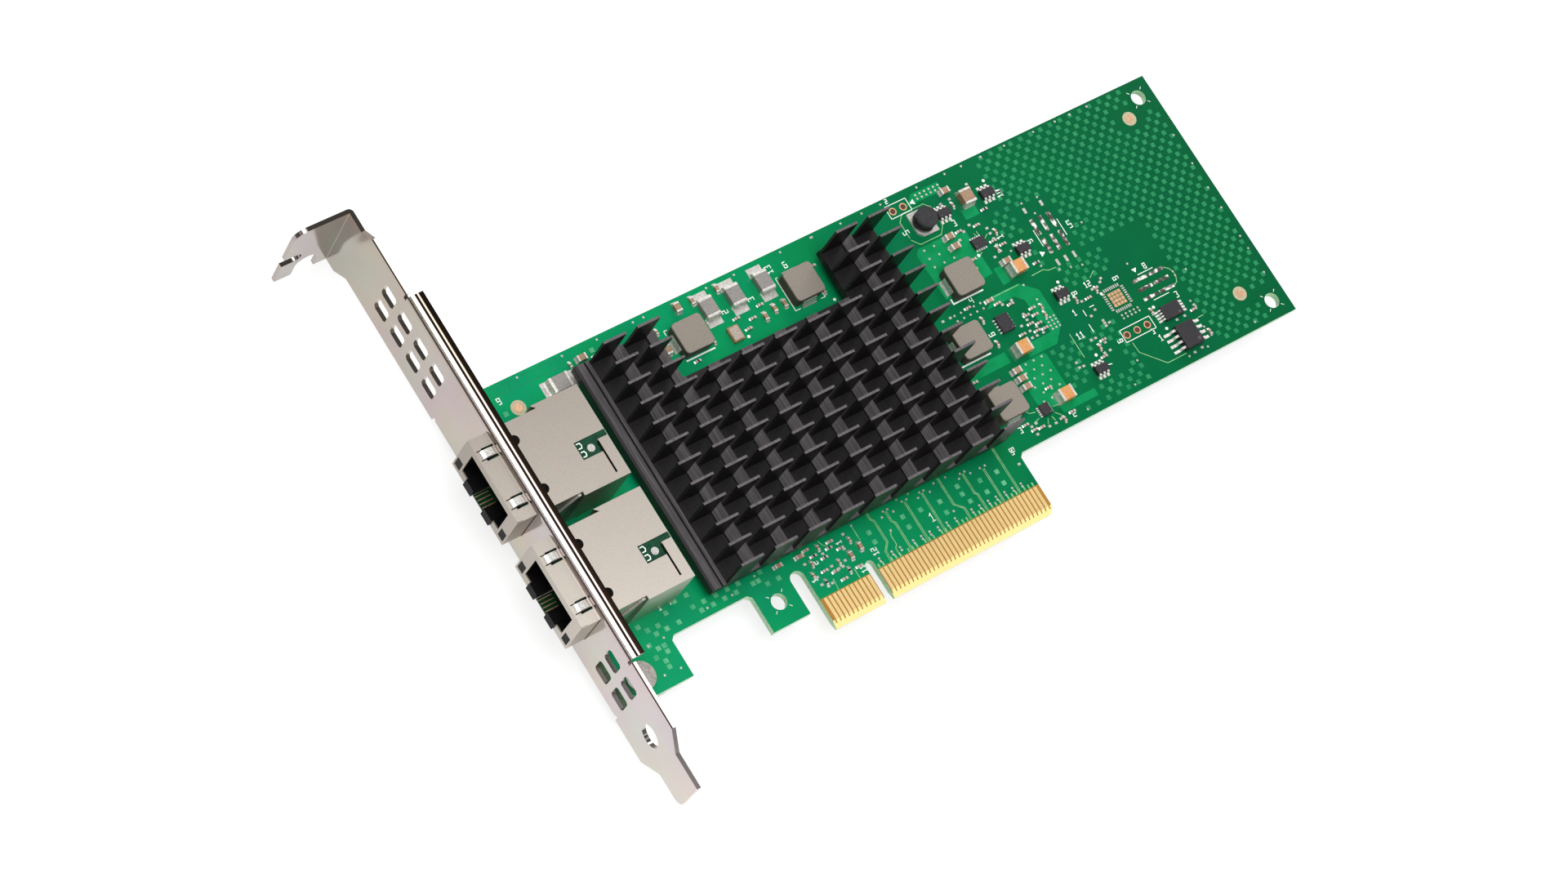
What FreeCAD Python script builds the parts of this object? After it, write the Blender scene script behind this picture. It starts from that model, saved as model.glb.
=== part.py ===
import FreeCAD, Part
import math
import os
import re
import Sketcher

# Two-port copper network card for an eight-lane edge slot, on a full-height bracket.
# X runs from the bracket to the far end, Y from the edge fingers to the top edge and
# Z out of the component side. The origin is on the component face of the board, at the
# centre of the key notch, level with the tips of the edge fingers.

doc = FreeCAD.newDocument("network_card")
sheet = doc.addObject("Spreadsheet::Sheet", "Sizes")
nodes = []

SIZES = {
    # circuit board
    "board_thick": 1.57,
    "board_reach": 110.9,
    "board_top": 68.9,
    "board_gap": 0.84,
    "shoulder": 12.95,
    "foot": 4.72,
    "leg_wide": 14.1,
    "tab_wide": 8.35,
    "hook_slot": 3.05,
    "hook_flat": 0.05,
    "key_wide": 1.9,
    "key_deep": 8.4,
    "key_corner": 0.9,
    "corner_round": 0.8,
    "tongue_round": 1.0,
    "bevel_high": 1.6,
    "bevel_deep": 0.55,
    "board_hole": 3.2,
    "hole_inset": 3.7,
    "tab_hole_lift": 4.63,

    # edge contacts
    "rear_fingers": 11,
    "front_fingers": 38,
    "finger_pitch": 1.0,
    "finger_wide": 0.7,
    "finger_top": 6.0,
    "finger_thick": 0.05,
    "finger_edge": 0.55,
    "finger_margin": 1.1,

    # folded bracket
    "key_to_bracket": 57.04,
    "sheet_thick": 0.86,
    "bend_inner": 0.1,
    "plate_front": 14.3,
    "plate_back": 4.1,
    "side_flange": 3.3,
    "front_flange_low": 10.2,
    "front_flange_high": 86.2,
    "back_flange_low": 5.6,
    "back_flange_high": 68.2,
    "relief_high": 0.7,
    "relief_deep": 1.3,
    "top_low": 105.44,
    "top_back": 6.9,
    "top_front": 12.2,
    "top_long": 11.2,
    "top_round": 2.5,
    "neck_back_low": 99.5,
    "neck_back_high": 102.8,
    "neck_front_low": 98.6,
    "neck_front_high": 101.4,
    "hip": 3.9,
    "hip_back_low": 8.0,
    "hip_front_low": 7.6,
    "bracket_bottom": 14.8,
    "toe_wide": 10.1,
    "toe_round": 2.0,
    "vent_wide": 3.85,
    "vent_high": 3.8,
    "vent_corner": 0.5,
    "vent_back": 2.1,
    "vent_across": 5.75,
    "high_vents": 4,
    "high_vent_low": 72.9,
    "high_vent_pitch": 5.57,
    "low_vents": 2,
    "low_vent_low": 6.9,
    "low_vent_pitch": 5.5,
    "toe_hole": 4.8,
    "toe_hole_front": 4.95,
    "toe_hole_low": 1.85,
    "screw_slot": 4.8,
    "screw_slot_out": 5.2,
    "screw_slot_centre": 3.55,
    "notch_wide": 2.7,
    "notch_front": 0.75,
    "notch_deep": 3.9,

    # screwed ears of the bracket
    "ear_wide": 8.0,
    "ear_long": 9.2,
    "ear_flat": 7.4,
    "ear_knee": 0.3,
    "low_screw": 8.7,
    "high_screw": 64.5,
    "screw_in": 5.04,
    "screw_shank": 3.0,
    "screw_clear": 0.1,
    "screw_head": 5.7,
    "screw_head_high": 2.2,
    "screw_past": 0.5,

    # the two jacks
    "low_jack": 27.8,
    "jack_pitch": 21.8,
    "nose_out": 4.2,
    "nose_wide": 17.3,
    "nose_low": 2.9,
    "nose_clear": 0.12,
    "nose_foot_in": 1.2,
    "jack_high": 13.1,
    "jack_front_long": 14.1,
    "jack_rear_long": 10.1,
    "jack_rear_wide": 18.9,
    "shield_thick": 0.25,
    "jack_fit": 0.05,
    "port_wide": 12.4,
    "port_low": 4.9,
    "port_high": 11.8,
    "latch_wide": 3.5,
    "latch_deep": 9.0,
    "lip_wide": 2.65,
    "lip_high": 5.3,
    "lip_out": 0.4,
    "light_across": 15.0,
    "light_wide": 1.6,
    "light_low": 3.8,
    "light_high": 6.7,
    "light_long": 12.0,
    "roof_slot": 0.4,
    "roof_slot_long": 3.5,
    "roof_slot_in": 0.5,
    "roof_slot_near": 8.0,
    "roof_slot_far": 12.3,
    "window_in": 17.5,
    "window_long": 4.5,
    "window_wide": 3.6,
    "window_side": 1.9,
    "gallery_board": 0.75,
    "gallery_wide": 15.4,
    "gallery_rear": 0.9,
    "gallery_front": 2.4,
    "spring_wide": 0.46,
    "spring_thick": 0.3,
    "spring_pitch": 1.02,
    "springs": 8,
    "spring_front": 2.0,
    "spring_long": 9.0,
    "spring_tip": 9.65,
    "spring_room": 0.5,
    "magnetics_low": 0.5,
    "magnetics_inset": 2.0,

    # heat sink and what it cools
    "sink_low": 2.3,
    "sink_floor": 3.95,
    "strip_top": 4.3,
    "fin_top": 13.1,
    "fin_start": 29.05,
    "fin_low": 15.88,
    "fin_long": 5.0,
    "fin_thick": 0.5,
    "fin_column_pitch": 7.62,
    "fin_row_pitch": 4.318,
    "fin_columns": 9,
    "fin_rows": 12,
    "bay_first": 2,
    "bay_columns": 5,
    "bay_rows": 3,
    "sink_margin": 3.22,
    "sink_rear_margin": 0.32,
    "bay_side": 0.64,
    "bay_lip": 2.7,
    "groove_wide": 0.45,
    "groove_in": 2.0,
    "chip_across": 25.0,
    "chip_middle_x": 3.0,
    "chip_middle_y": 36.0,
    "chip_base": 1.0,
    "lid_across": 21.0,
    "lid_thick": 0.9,
    "pad_inset": 1.0,
    "fixing_inset": 4.0,
    "fixing_hole": 2.7,
    "fixing_shank": 2.5,
    "fixing_head": 4.6,
    "fixing_head_high": 1.2,
    "spacer_wide": 4.6,

    # power coils
    "coil_across": 6.5,
    "coil_high": 3.0,
    "coil_bevel": 0.35,
    "coil_pad_high": 0.15,
    "coil_pad_wide": 3.2,
    "coil_pad_out": 0.45,
    "drum_wide": 4.5,
    "drum_high": 2.6,
    "drum_base_high": 0.35,
    "drum_base_long": 5.4,
    "drum_base_wide": 4.6,

    # small parts, by the size of their case
    "bead_long": 4.4,
    "bead_wide": 3.0,
    "bead_high": 1.5,
    "large_cap_long": 3.2,
    "large_cap_wide": 2.6,
    "large_cap_high": 1.9,
    "middle_cap_long": 2.0,
    "middle_cap_wide": 1.25,
    "middle_cap_high": 1.0,
    "small_part_long": 1.6,
    "small_part_wide": 0.8,
    "small_part_high": 0.6,
    "tiny_part_long": 1.0,
    "tiny_part_wide": 0.5,
    "tiny_part_high": 0.4,
    "crystal_long": 3.2,
    "crystal_wide": 2.5,
    "crystal_high": 0.8,
    "six_lead_long": 2.9,
    "six_lead_wide": 1.6,
    "six_lead_pitch": 0.95,
    "six_lead_wire": 0.4,
    "six_lead_reach": 0.6,
    "six_lead_high": 1.1,
    "slim_chip_long": 3.0,
    "slim_chip_wide": 4.4,
    "slim_chip_pitch": 0.65,
    "slim_chip_wire": 0.25,
    "slim_chip_reach": 1.0,
    "slim_chip_high": 0.9,
    "wide_chip_long": 5.1,
    "wide_chip_wide": 5.0,
    "wide_chip_pitch": 1.27,
    "wide_chip_wire": 0.4,
    "wide_chip_reach": 1.4,
    "wide_chip_high": 1.7,
    "chip_lead_thick": 0.15,
    "chip_stand": 0.1,
    "flat_chip_high": 0.9,
    "flat_chip_long": 3.6,
    "flat_chip_wide": 2.9,
}

for row, (alias, number) in enumerate(SIZES.items(), 1):
    sheet.set("A%d" % row, alias)
    sheet.set("B%d" % row, str(number))
    sheet.setAlias("B%d" % row, alias)
doc.recompute()


def link(text):
    """turns the sheet's names in an expression into references to its cells"""
    return re.sub(r"[a-z]\w*", lambda word: "Sizes." + word.group(), str(text))


reader = doc.addObject("App::FeaturePython", "Reader")


def value(text):
    return float(reader.evalExpression(link(text)))


def bind(item, prop, text):
    item.setExpression(prop, link(text))


def body(label):
    item = doc.addObject("PartDesign::Body", label)
    item.AllowCompound = True
    item.Label = label
    nodes.append(item)
    return item


def origin_part(item, role):
    return [feature for feature in item.Origin.OriginFeatures if feature.Role == role][0]


def sketch(item, role, offset="0"):
    """a sketch on one of the body's own origin planes, moved along that plane's normal"""
    drawing = item.newObject("Sketcher::SketchObject", item.Name + "_sketch")
    drawing.AttachmentSupport = [(origin_part(item, role), "")]
    drawing.MapMode = "FlatFace"
    bind(drawing, "AttachmentOffset.Base.z", offset)
    return drawing


def fix_point(drawing, geometry, end, across, up):
    """ties one point of a sketch to two expressions"""
    for kind, text in (("DistanceX", across), ("DistanceY", up)):
        number = drawing.addConstraint(Sketcher.Constraint(kind, -1, 1, geometry, end, value(text)))
        bind(drawing, "Constraints[%d]" % number, text)


def fix_radius(drawing, geometry, text):
    number = drawing.addConstraint(Sketcher.Constraint("Radius", geometry, value(text)))
    bind(drawing, "Constraints[%d]" % number, text)


def polygon(drawing, corners):
    """straight lines round the corners, each corner a pair of expressions"""
    points = [FreeCAD.Vector(value(across), value(up), 0) for across, up in corners]
    count = len(points)
    first = drawing.GeometryCount
    for index in range(count):
        drawing.addGeometry(Part.LineSegment(points[index], points[(index + 1) % count]), False)
    for index in range(count):
        following = first + (index + 1) % count
        drawing.addConstraint(Sketcher.Constraint("Coincident", first + index, 2, following, 1))
    for index, (across, up) in enumerate(corners):
        fix_point(drawing, first + index, 1, across, up)


def rectangle(drawing, left, low, right, high):
    polygon(drawing, [(left, low), (right, low), (right, high), (left, high)])


def circle(drawing, across, up, radius):
    centre = FreeCAD.Vector(value(across), value(up), 0)
    ring = Part.Circle(centre, FreeCAD.Vector(0, 0, 1), value(radius))
    number = drawing.addGeometry(ring, False)
    fix_point(drawing, number, 3, across, up)
    fix_radius(drawing, number, radius)


def pad(item, drawing, length, symmetric=False, backwards=False):
    feature = item.newObject("PartDesign::Pad", item.Name + "_pad")
    feature.Profile = drawing
    feature.Reversed = backwards
    if symmetric:
        feature.SideType = "Symmetric"
    bind(feature, "Length", length)
    doc.recompute()
    return feature


def pocket(item, drawing, length, symmetric=False, backwards=False):
    """cuts along the sketch's normal reversed, unless backwards; the volume has to fall"""
    before = item.Shape.Volume
    feature = item.newObject("PartDesign::Pocket", item.Name + "_pocket")
    feature.Profile = drawing
    feature.Reversed = backwards
    if symmetric:
        feature.SideType = "Symmetric"
    bind(feature, "Length", length)
    doc.recompute()
    if item.Shape.Volume >= before:
        raise RuntimeError(item.Label + ": a pocket cut nothing")
    return feature


def pattern(item, feature, runs):
    """repeats a feature along one or more of the body's axes; each run is axis, pitch, count"""
    rows = []
    for role, pitch, count in runs:
        row = item.newObject("PartDesign::LinearPattern", item.Name + "_row")
        if len(runs) == 1:
            row.Originals = [feature]
        row.Direction = (origin_part(item, role), [""])
        row.Mode = "Spacing"
        bind(row, "Offset", pitch)
        bind(row, "Occurrences", count)
        rows.append(row)
    result = rows[0]
    if len(runs) > 1:
        result = item.newObject("PartDesign::MultiTransform", item.Name + "_grid")
        result.Originals = [feature]
        result.Transformations = rows
    item.Tip = result
    doc.recompute()
    return result


def edges_at(item, places, tolerance=0.02):
    """names of the straight edges whose middle has the given coordinates; None is any"""
    found = []
    for number, edge in enumerate(item.Shape.Edges):
        middle = edge.CenterOfMass
        for place in places:
            near = [
                wanted is None or abs(wanted - actual) < tolerance
                for wanted, actual in zip(place, (middle.x, middle.y, middle.z))
            ]
            if all(near):
                found.append("Edge%d" % (number + 1))
    return sorted(set(found))


def fillet(item, radius, places):
    chosen = edges_at(item, places)
    if len(chosen) < len(places):
        raise RuntimeError(item.Label + ": an edge to round is missing")
    base = item.Tip
    feature = item.newObject("PartDesign::Fillet", item.Name + "_fillet")
    feature.Base = (base, chosen)
    bind(feature, "Radius", radius)
    doc.recompute()
    return feature


def chamfer(item, width, places):
    chosen = edges_at(item, places)
    if len(chosen) < len(places):
        raise RuntimeError(item.Label + ": an edge to bevel is missing")
    base = item.Tip
    feature = item.newObject("PartDesign::Chamfer", item.Name + "_chamfer")
    feature.Base = (base, chosen)
    bind(feature, "Size", width)
    doc.recompute()
    return feature


def half(text):
    return "(" + text + ") / 2"


# ---------------------------------------------------------------- circuit board

BOARD_REAR = "board_gap - key_to_bracket"
LEG_END = "board_gap - key_to_bracket + leg_wide"
TONGUE_REAR = "0 - key_wide / 2 - finger_edge - (rear_fingers - 1) * finger_pitch - finger_margin"
TONGUE_FRONT = "key_wide / 2 + finger_edge + (front_fingers - 1) * finger_pitch + finger_margin"
TAB_FRONT = TONGUE_REAR + " - hook_slot"
TAB_REAR = TAB_FRONT + " - tab_wide"
SCREW_X = "screw_in - key_to_bracket"
BOARD_BACK = "0 - board_thick"
FIXING_LEFT = "0 - fin_start - sink_margin + fixing_inset"
FIXING_RIGHT = "(fin_columns - 1) * fin_column_pitch + fin_long - fin_start - fixing_inset"
FIXING_LOW = "fin_low + fixing_inset"
FIXING_HIGH = "fin_low + (fin_rows - 1) * fin_row_pitch + fin_thick + sink_rear_margin - fixing_inset"
FIXINGS = [(FIXING_LEFT, FIXING_HIGH), (FIXING_RIGHT, FIXING_LOW)]

circuit_board = body("circuit_board")
outline = sketch(circuit_board, "XY_Plane", BOARD_BACK)
polygon(outline, [
    (BOARD_REAR, "foot"),
    (LEG_END, "foot"),
    (LEG_END, "shoulder"),
    (TAB_REAR, "shoulder"),
    (TAB_REAR, "foot"),
    (TAB_FRONT, "foot"),
    (TAB_FRONT, "shoulder"),
    (TONGUE_REAR, "shoulder"),
    (TONGUE_REAR, "0"),
    (TONGUE_FRONT, "0"),
    (TONGUE_FRONT, "shoulder"),
    ("board_reach", "shoulder"),
    ("board_reach", "board_top"),
    (BOARD_REAR, "board_top"),
])
pad(circuit_board, outline, "board_thick")
key = sketch(circuit_board, "XY_Plane")
rectangle(key, "0 - key_wide / 2", "0 - bevel_high", "key_wide / 2", "key_deep")
pocket(circuit_board, key, "board_thick")
MID_BOARD = -value("board_thick") / 2
fillet(circuit_board, "key_corner", [
    (-value("key_wide") / 2, value("key_deep"), MID_BOARD),
    (value("key_wide") / 2, value("key_deep"), MID_BOARD),
])
fillet(circuit_board, half("hook_slot - hook_flat"), [
    (value(TAB_FRONT), value("shoulder"), MID_BOARD),
    (value(TONGUE_REAR), value("shoulder"), MID_BOARD),
])
chamfer(circuit_board, "corner_round", [
    (value(LEG_END), value("shoulder"), MID_BOARD),
    (value(TAB_REAR), value("shoulder"), MID_BOARD),
    (value(TONGUE_FRONT), value("shoulder"), MID_BOARD),
])
chamfer(circuit_board, "tongue_round", [(value(TONGUE_FRONT), 0, MID_BOARD)])
holes = sketch(circuit_board, "XY_Plane")
HOLE_X = "board_reach - hole_inset"
circle(holes, HOLE_X, "board_top - hole_inset", half("board_hole"))
circle(holes, HOLE_X, "shoulder + hole_inset", half("board_hole"))
circle(holes, TAB_FRONT + " - tab_wide / 2", "foot + tab_hole_lift", half("board_hole"))
for screw_y in ("low_screw", "high_screw"):
    circle(holes, SCREW_X, screw_y, "screw_shank / 2 + screw_clear")
for fixing_x, fixing_y in FIXINGS:
    circle(holes, fixing_x, fixing_y, half("fixing_hole"))
pocket(circuit_board, holes, "board_thick")
bevels = sketch(circuit_board, "YZ_Plane", TONGUE_REAR + " - bevel_deep")
polygon(bevels, [
    ("0 - bevel_high", "bevel_deep"),
    ("bevel_high", "0"),
    ("0", "0 - bevel_deep"),
    ("0 - bevel_high", "0 - bevel_deep"),
])
polygon(bevels, [
    ("0 - bevel_high", "0 - board_thick - bevel_deep"),
    ("0 - bevel_high", "bevel_deep - board_thick"),
    ("0", "bevel_deep - board_thick"),
    ("bevel_high", BOARD_BACK),
])
pocket(circuit_board, bevels, TONGUE_FRONT + " - (" + TONGUE_REAR + ") + 2 * bevel_deep", backwards=True)


# ---------------------------------------------------------------- edge contacts

def edge_contacts(label, foot_z):
    """gold pads on one face of the two tongues, either side of the key notch"""
    item = body(label)
    first = "key_wide / 2 + finger_edge - finger_wide / 2"
    for side, count in ((1, "front_fingers"), (-1, "rear_fingers")):
        one = sketch(item, "XY_Plane", foot_z)
        if side > 0:
            rectangle(one, first, "bevel_high", first + " + finger_wide", "finger_top")
        else:
            rectangle(one, "0 - (" + first + ") - finger_wide", "bevel_high",
                      "0 - (" + first + ")", "finger_top")
        finger = pad(item, one, "finger_thick")
        row = pattern(item, finger, [("X_Axis", "finger_pitch", count)])
        row.Reversed = side < 0
        doc.recompute()
    return item


edge_contacts("edge_contacts_front", "0")
edge_contacts("edge_contacts_back", "0 - board_thick - finger_thick")


# ---------------------------------------------------------------- mounting bracket

PLATE_IN = "0 - key_to_bracket"
PLATE_OUT = "0 - key_to_bracket - sheet_thick"
TOP_BEND = "top_low - bend_inner"
JACKS = {"lower": "low_jack", "upper": "low_jack + jack_pitch"}

mounting_bracket = body("mounting_bracket")
plate = sketch(mounting_bracket, "YZ_Plane", PLATE_OUT)
FRONT_BEND = "plate_front - sheet_thick - bend_inner"
BACK_BEND = "0 - plate_back + sheet_thick + bend_inner"
polygon(plate, [
    ("0 - bracket_bottom", "0"),
    ("0 - bracket_bottom", "toe_wide"),
    ("0 - hip_front_low", "toe_wide"),
    ("0 - hip", "plate_front"),
    ("front_flange_low - relief_high", "plate_front"),
    ("front_flange_low - relief_high", "plate_front - relief_deep"),
    ("front_flange_low", "plate_front - relief_deep"),
    ("front_flange_low", FRONT_BEND),
    ("front_flange_high", FRONT_BEND),
    ("front_flange_high", "plate_front - relief_deep"),
    ("front_flange_high + relief_high", "plate_front - relief_deep"),
    ("front_flange_high + relief_high", "plate_front"),
    ("neck_front_low", "plate_front"),
    ("neck_front_high", "top_front"),
    (TOP_BEND, "top_front"),
    (TOP_BEND, "0 - top_back"),
    ("neck_back_high", "0 - top_back"),
    ("neck_back_low", "0 - plate_back"),
    ("back_flange_high + relief_high", "0 - plate_back"),
    ("back_flange_high + relief_high", "relief_deep - plate_back"),
    ("back_flange_high", "relief_deep - plate_back"),
    ("back_flange_high", BACK_BEND),
    ("back_flange_low", BACK_BEND),
    ("back_flange_low", "relief_deep - plate_back"),
    ("back_flange_low - relief_high", "relief_deep - plate_back"),
    ("back_flange_low - relief_high", "0 - plate_back"),
    ("0 - hip", "0 - plate_back"),
    ("0 - hip_back_low", "0"),
])
pad(mounting_bracket, plate, "sheet_thick")


def side_flange(low, high, face, inward):
    """a long flange bent towards the card from the plate's edge at z = face"""
    drawing = sketch(mounting_bracket, "XZ_Plane", "0 - (" + high + ")")
    sign = " - " if inward < 0 else " + "
    flat = "(" + face + ")" + sign + "sheet_thick"
    bend = "(" + face + ")" + sign + "(sheet_thick + bend_inner)"
    rim = "0 - key_to_bracket + side_flange - sheet_thick"
    curve = PLATE_IN + " + bend_inner"
    outer = [(PLATE_OUT, bend), (PLATE_IN, bend), (curve, flat), (rim, flat), (rim, face), (curve, face)]
    section(drawing, outer, (curve, bend))
    pad(mounting_bracket, drawing, "(" + high + ") - (" + low + ")")


def section(drawing, corners, centre):
    """bent sheet: two arcs about the bend's centre, joined by the flange's straight faces

    corners are the outer and inner start of the bend, the inner end of the bend, the two
    corners of the flange's rim and the outer end of the bend.
    """
    points = [FreeCAD.Vector(value(across), value(up), 0) for across, up in corners]
    middle = FreeCAD.Vector(value(centre[0]), value(centre[1]), 0)
    for begin, end in ((0, 1), (2, 3), (3, 4), (4, 5)):
        drawing.addGeometry(Part.LineSegment(points[begin], points[end]), False)
    for line, (across, up) in zip((0, 1, 2, 3), (corners[0], corners[2], corners[3], corners[4])):
        fix_point(drawing, line, 1, across, up)
    fix_point(drawing, 0, 2, corners[1][0], corners[1][1])
    fix_point(drawing, 3, 2, corners[5][0], corners[5][1])
    for line in (1, 2):
        drawing.addConstraint(Sketcher.Constraint("Coincident", line, 2, line + 1, 1))
    for begin, end, line_begin, line_end in ((1, 2, (0, 2), (1, 1)), (5, 0, (3, 2), (0, 1))):
        ring = Part.Circle(middle, FreeCAD.Vector(0, 0, 1), (points[begin] - middle).Length)
        first, last = ring.parameter(points[begin]), ring.parameter(points[end])
        if (last - first) % (2 * math.pi) > math.pi:
            first, last = last, first
            line_begin, line_end = line_end, line_begin
        arc = drawing.addGeometry(Part.ArcOfCircle(ring, first, last), False)
        drawing.addConstraint(Sketcher.Constraint("Coincident", arc, 1, line_begin[0], line_begin[1]))
        drawing.addConstraint(Sketcher.Constraint("Coincident", arc, 2, line_end[0], line_end[1]))
        number = drawing.addConstraint(Sketcher.Constraint("DistanceX", -1, 1, arc, 3, middle.x))
        bind(drawing, "Constraints[%d]" % number, centre[0])


side_flange("front_flange_low", "front_flange_high", "plate_front", -1)
side_flange("back_flange_low", "back_flange_high", "0 - plate_back", 1)

lid_drawing = sketch(mounting_bracket, "XY_Plane", "0 - top_back")
TOP_HIGH = "top_low + sheet_thick"
TOP_CURVE = PLATE_OUT + " - bend_inner"
TOP_RIM = PLATE_OUT + " - top_long"
section(lid_drawing, [
    (PLATE_IN, TOP_BEND),
    (PLATE_OUT, TOP_BEND),
    (TOP_CURVE, "top_low"),
    (TOP_RIM, "top_low"),
    (TOP_RIM, TOP_HIGH),
    (TOP_CURVE, TOP_HIGH),
], (TOP_CURVE, TOP_BEND))
pad(mounting_bracket, lid_drawing, "top_back + top_front")

MID_TOP = value("top_low + sheet_thick / 2")
fillet(mounting_bracket, "top_round", [(value(TOP_RIM), MID_TOP, value("top_front"))])
fillet(mounting_bracket, "toe_round", [(value(PLATE_OUT + " + sheet_thick / 2"), -value("bracket_bottom"), 0)])


def vents(low, pitch, count):
    drawing = sketch(mounting_bracket, "YZ_Plane", PLATE_OUT)
    rectangle(drawing, low + " - vent_high / 2", "vent_back - vent_wide / 2",
              low + " + vent_high / 2", "vent_back + vent_wide / 2")
    hole = pocket(mounting_bracket, drawing, "sheet_thick", backwards=True)
    pattern(mounting_bracket, hole, [("Z_Axis", "vent_across", "2"), ("Y_Axis", pitch, count)])


vents("high_vent_low", "high_vent_pitch", "high_vents")
vents("low_vent_low", "low_vent_pitch", "low_vents")
vent_corners = []
for low, pitch, count in (("high_vent_low", "high_vent_pitch", "high_vents"),
                          ("low_vent_low", "low_vent_pitch", "low_vents")):
    for row in range(int(value(count))):
        for column in range(2):
            for side_y in (-1, 1):
                for side_z in (-1, 1):
                    vent_corners.append((
                        value(PLATE_OUT + " + sheet_thick / 2"),
                        value(low) + row * value(pitch) + side_y * value("vent_high") / 2,
                        value("vent_back") + column * value("vent_across") + side_z * value("vent_wide") / 2,
                    ))
chamfer(mounting_bracket, "vent_corner", vent_corners)

openings = sketch(mounting_bracket, "YZ_Plane", PLATE_OUT)
circle(openings, "0 - toe_hole_low", "toe_hole_front", half("toe_hole"))
for jack_y in JACKS.values():
    rectangle(openings, jack_y + " - nose_wide / 2 - nose_clear", "nose_low - nose_clear",
              jack_y + " + nose_wide / 2 + nose_clear", "jack_high + nose_clear")
pocket(mounting_bracket, openings, "sheet_thick", backwards=True)

slots = sketch(mounting_bracket, "XZ_Plane", "0 - top_low - sheet_thick")
SLOT_X = PLATE_OUT + " - screw_slot_out"
rectangle(slots, SLOT_X + " - screw_slot / 2", "0 - top_back - sheet_thick", SLOT_X + " + screw_slot / 2",
          "0 - screw_slot_centre")
rectangle(slots, TOP_RIM + " - sheet_thick", "notch_front - notch_wide / 2", TOP_RIM + " + notch_deep - notch_wide / 2",
          "notch_front + notch_wide / 2")
pocket(mounting_bracket, slots, "sheet_thick", backwards=True)
rounds = sketch(mounting_bracket, "XZ_Plane", "0 - top_low - sheet_thick")
circle(rounds, SLOT_X, "0 - screw_slot_centre", half("screw_slot"))
pocket(mounting_bracket, rounds, "sheet_thick", backwards=True)
rounds = sketch(mounting_bracket, "XZ_Plane", "0 - top_low - sheet_thick")
circle(rounds, TOP_RIM + " + notch_deep - notch_wide / 2", "notch_front", half("notch_wide"))
pocket(mounting_bracket, rounds, "sheet_thick", backwards=True)

# two ears step up from the back flange and lie against the back of the board
for screw_y in ("low_screw", "high_screw"):
    ear = sketch(mounting_bracket, "XZ_Plane", "0 - " + screw_y + " - ear_wide / 2")
    ear_root = PLATE_IN + " + bend_inner"
    ear_knee = PLATE_IN + " + ear_long - ear_flat"
    ear_end = PLATE_IN + " + ear_long"
    low_face = "0 - plate_back"
    polygon(ear, [
        (ear_root, low_face),
        (ear_root, low_face + " + sheet_thick"),
        (ear_knee, BOARD_BACK),
        (ear_end, BOARD_BACK),
        (ear_end, BOARD_BACK + " - sheet_thick"),
        (ear_knee + " + ear_knee", BOARD_BACK + " - sheet_thick"),
        (ear_root + " + sheet_thick", low_face),
    ])
    pad(mounting_bracket, ear, "ear_wide")
    screw_hole = sketch(mounting_bracket, "XY_Plane", BOARD_BACK)
    circle(screw_hole, SCREW_X, screw_y, half("screw_shank"))
    pocket(mounting_bracket, screw_hole, "sheet_thick")


# ---------------------------------------------------------------- bracket screws

def revolve(item, drawing, across, low, high):
    """turns a sketch on the XZ plane once round the upright line x = across"""
    axis = drawing.addGeometry(Part.LineSegment(
        FreeCAD.Vector(value(across), value(low), 0), FreeCAD.Vector(value(across), value(high), 0)), True)
    fix_point(drawing, axis, 1, across, low)
    fix_point(drawing, axis, 2, across, high)
    turn = item.newObject("PartDesign::Revolution", item.Name + "_turn")
    turn.Profile = drawing
    turn.ReferenceAxis = (drawing, ["Axis0"])
    turn.Angle = 360
    doc.recompute()


def turned_screws(label, places, shank, head, top, face, tip):
    """flat-headed screws turned from one profile, one for each place"""
    item = body(label)
    for across, up in places:
        drawing = sketch(item, "XZ_Plane", "0 - (" + up + ")")
        polygon(drawing, [
            (across, top),
            (across + " + " + head + " / 2", top),
            (across + " + " + head + " / 2", face),
            (across + " + " + shank + " / 2", face),
            (across + " + " + shank + " / 2", tip),
            (across, tip),
        ])
        revolve(item, drawing, across, tip, top)


turned_screws("bracket_screws", [(SCREW_X, "low_screw"), (SCREW_X, "high_screw")], "screw_shank",
              "screw_head", "screw_head_high", "0", "0 - board_thick - sheet_thick - screw_past")


# ---------------------------------------------------------------- jacks

NOSE_FRONT = PLATE_OUT + " - nose_out"
JACK_STEP = NOSE_FRONT + " + jack_front_long"
JACK_BACK = JACK_STEP + " + jack_rear_long"
NOSE_FOOT = PLATE_IN + " + nose_foot_in"
GALLERY_TOP = "jack_high - shield_thick"
GALLERY_LOW = "jack_high - shield_thick - gallery_board"


def box_pad(item, left, right, low, high, bottom, top):
    drawing = sketch(item, "XY_Plane", bottom)
    rectangle(drawing, left, low, right, high)
    return pad(item, drawing, "(" + top + ") - (" + bottom + ")")


def box_pocket(item, left, right, low, high, bottom, top):
    drawing = sketch(item, "XY_Plane", top)
    rectangle(drawing, left, low, right, high)
    return pocket(item, drawing, "(" + top + ") - (" + bottom + ")")


def around(middle, width):
    return middle + " - (" + width + ") / 2", middle + " + (" + width + ") / 2"


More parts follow.
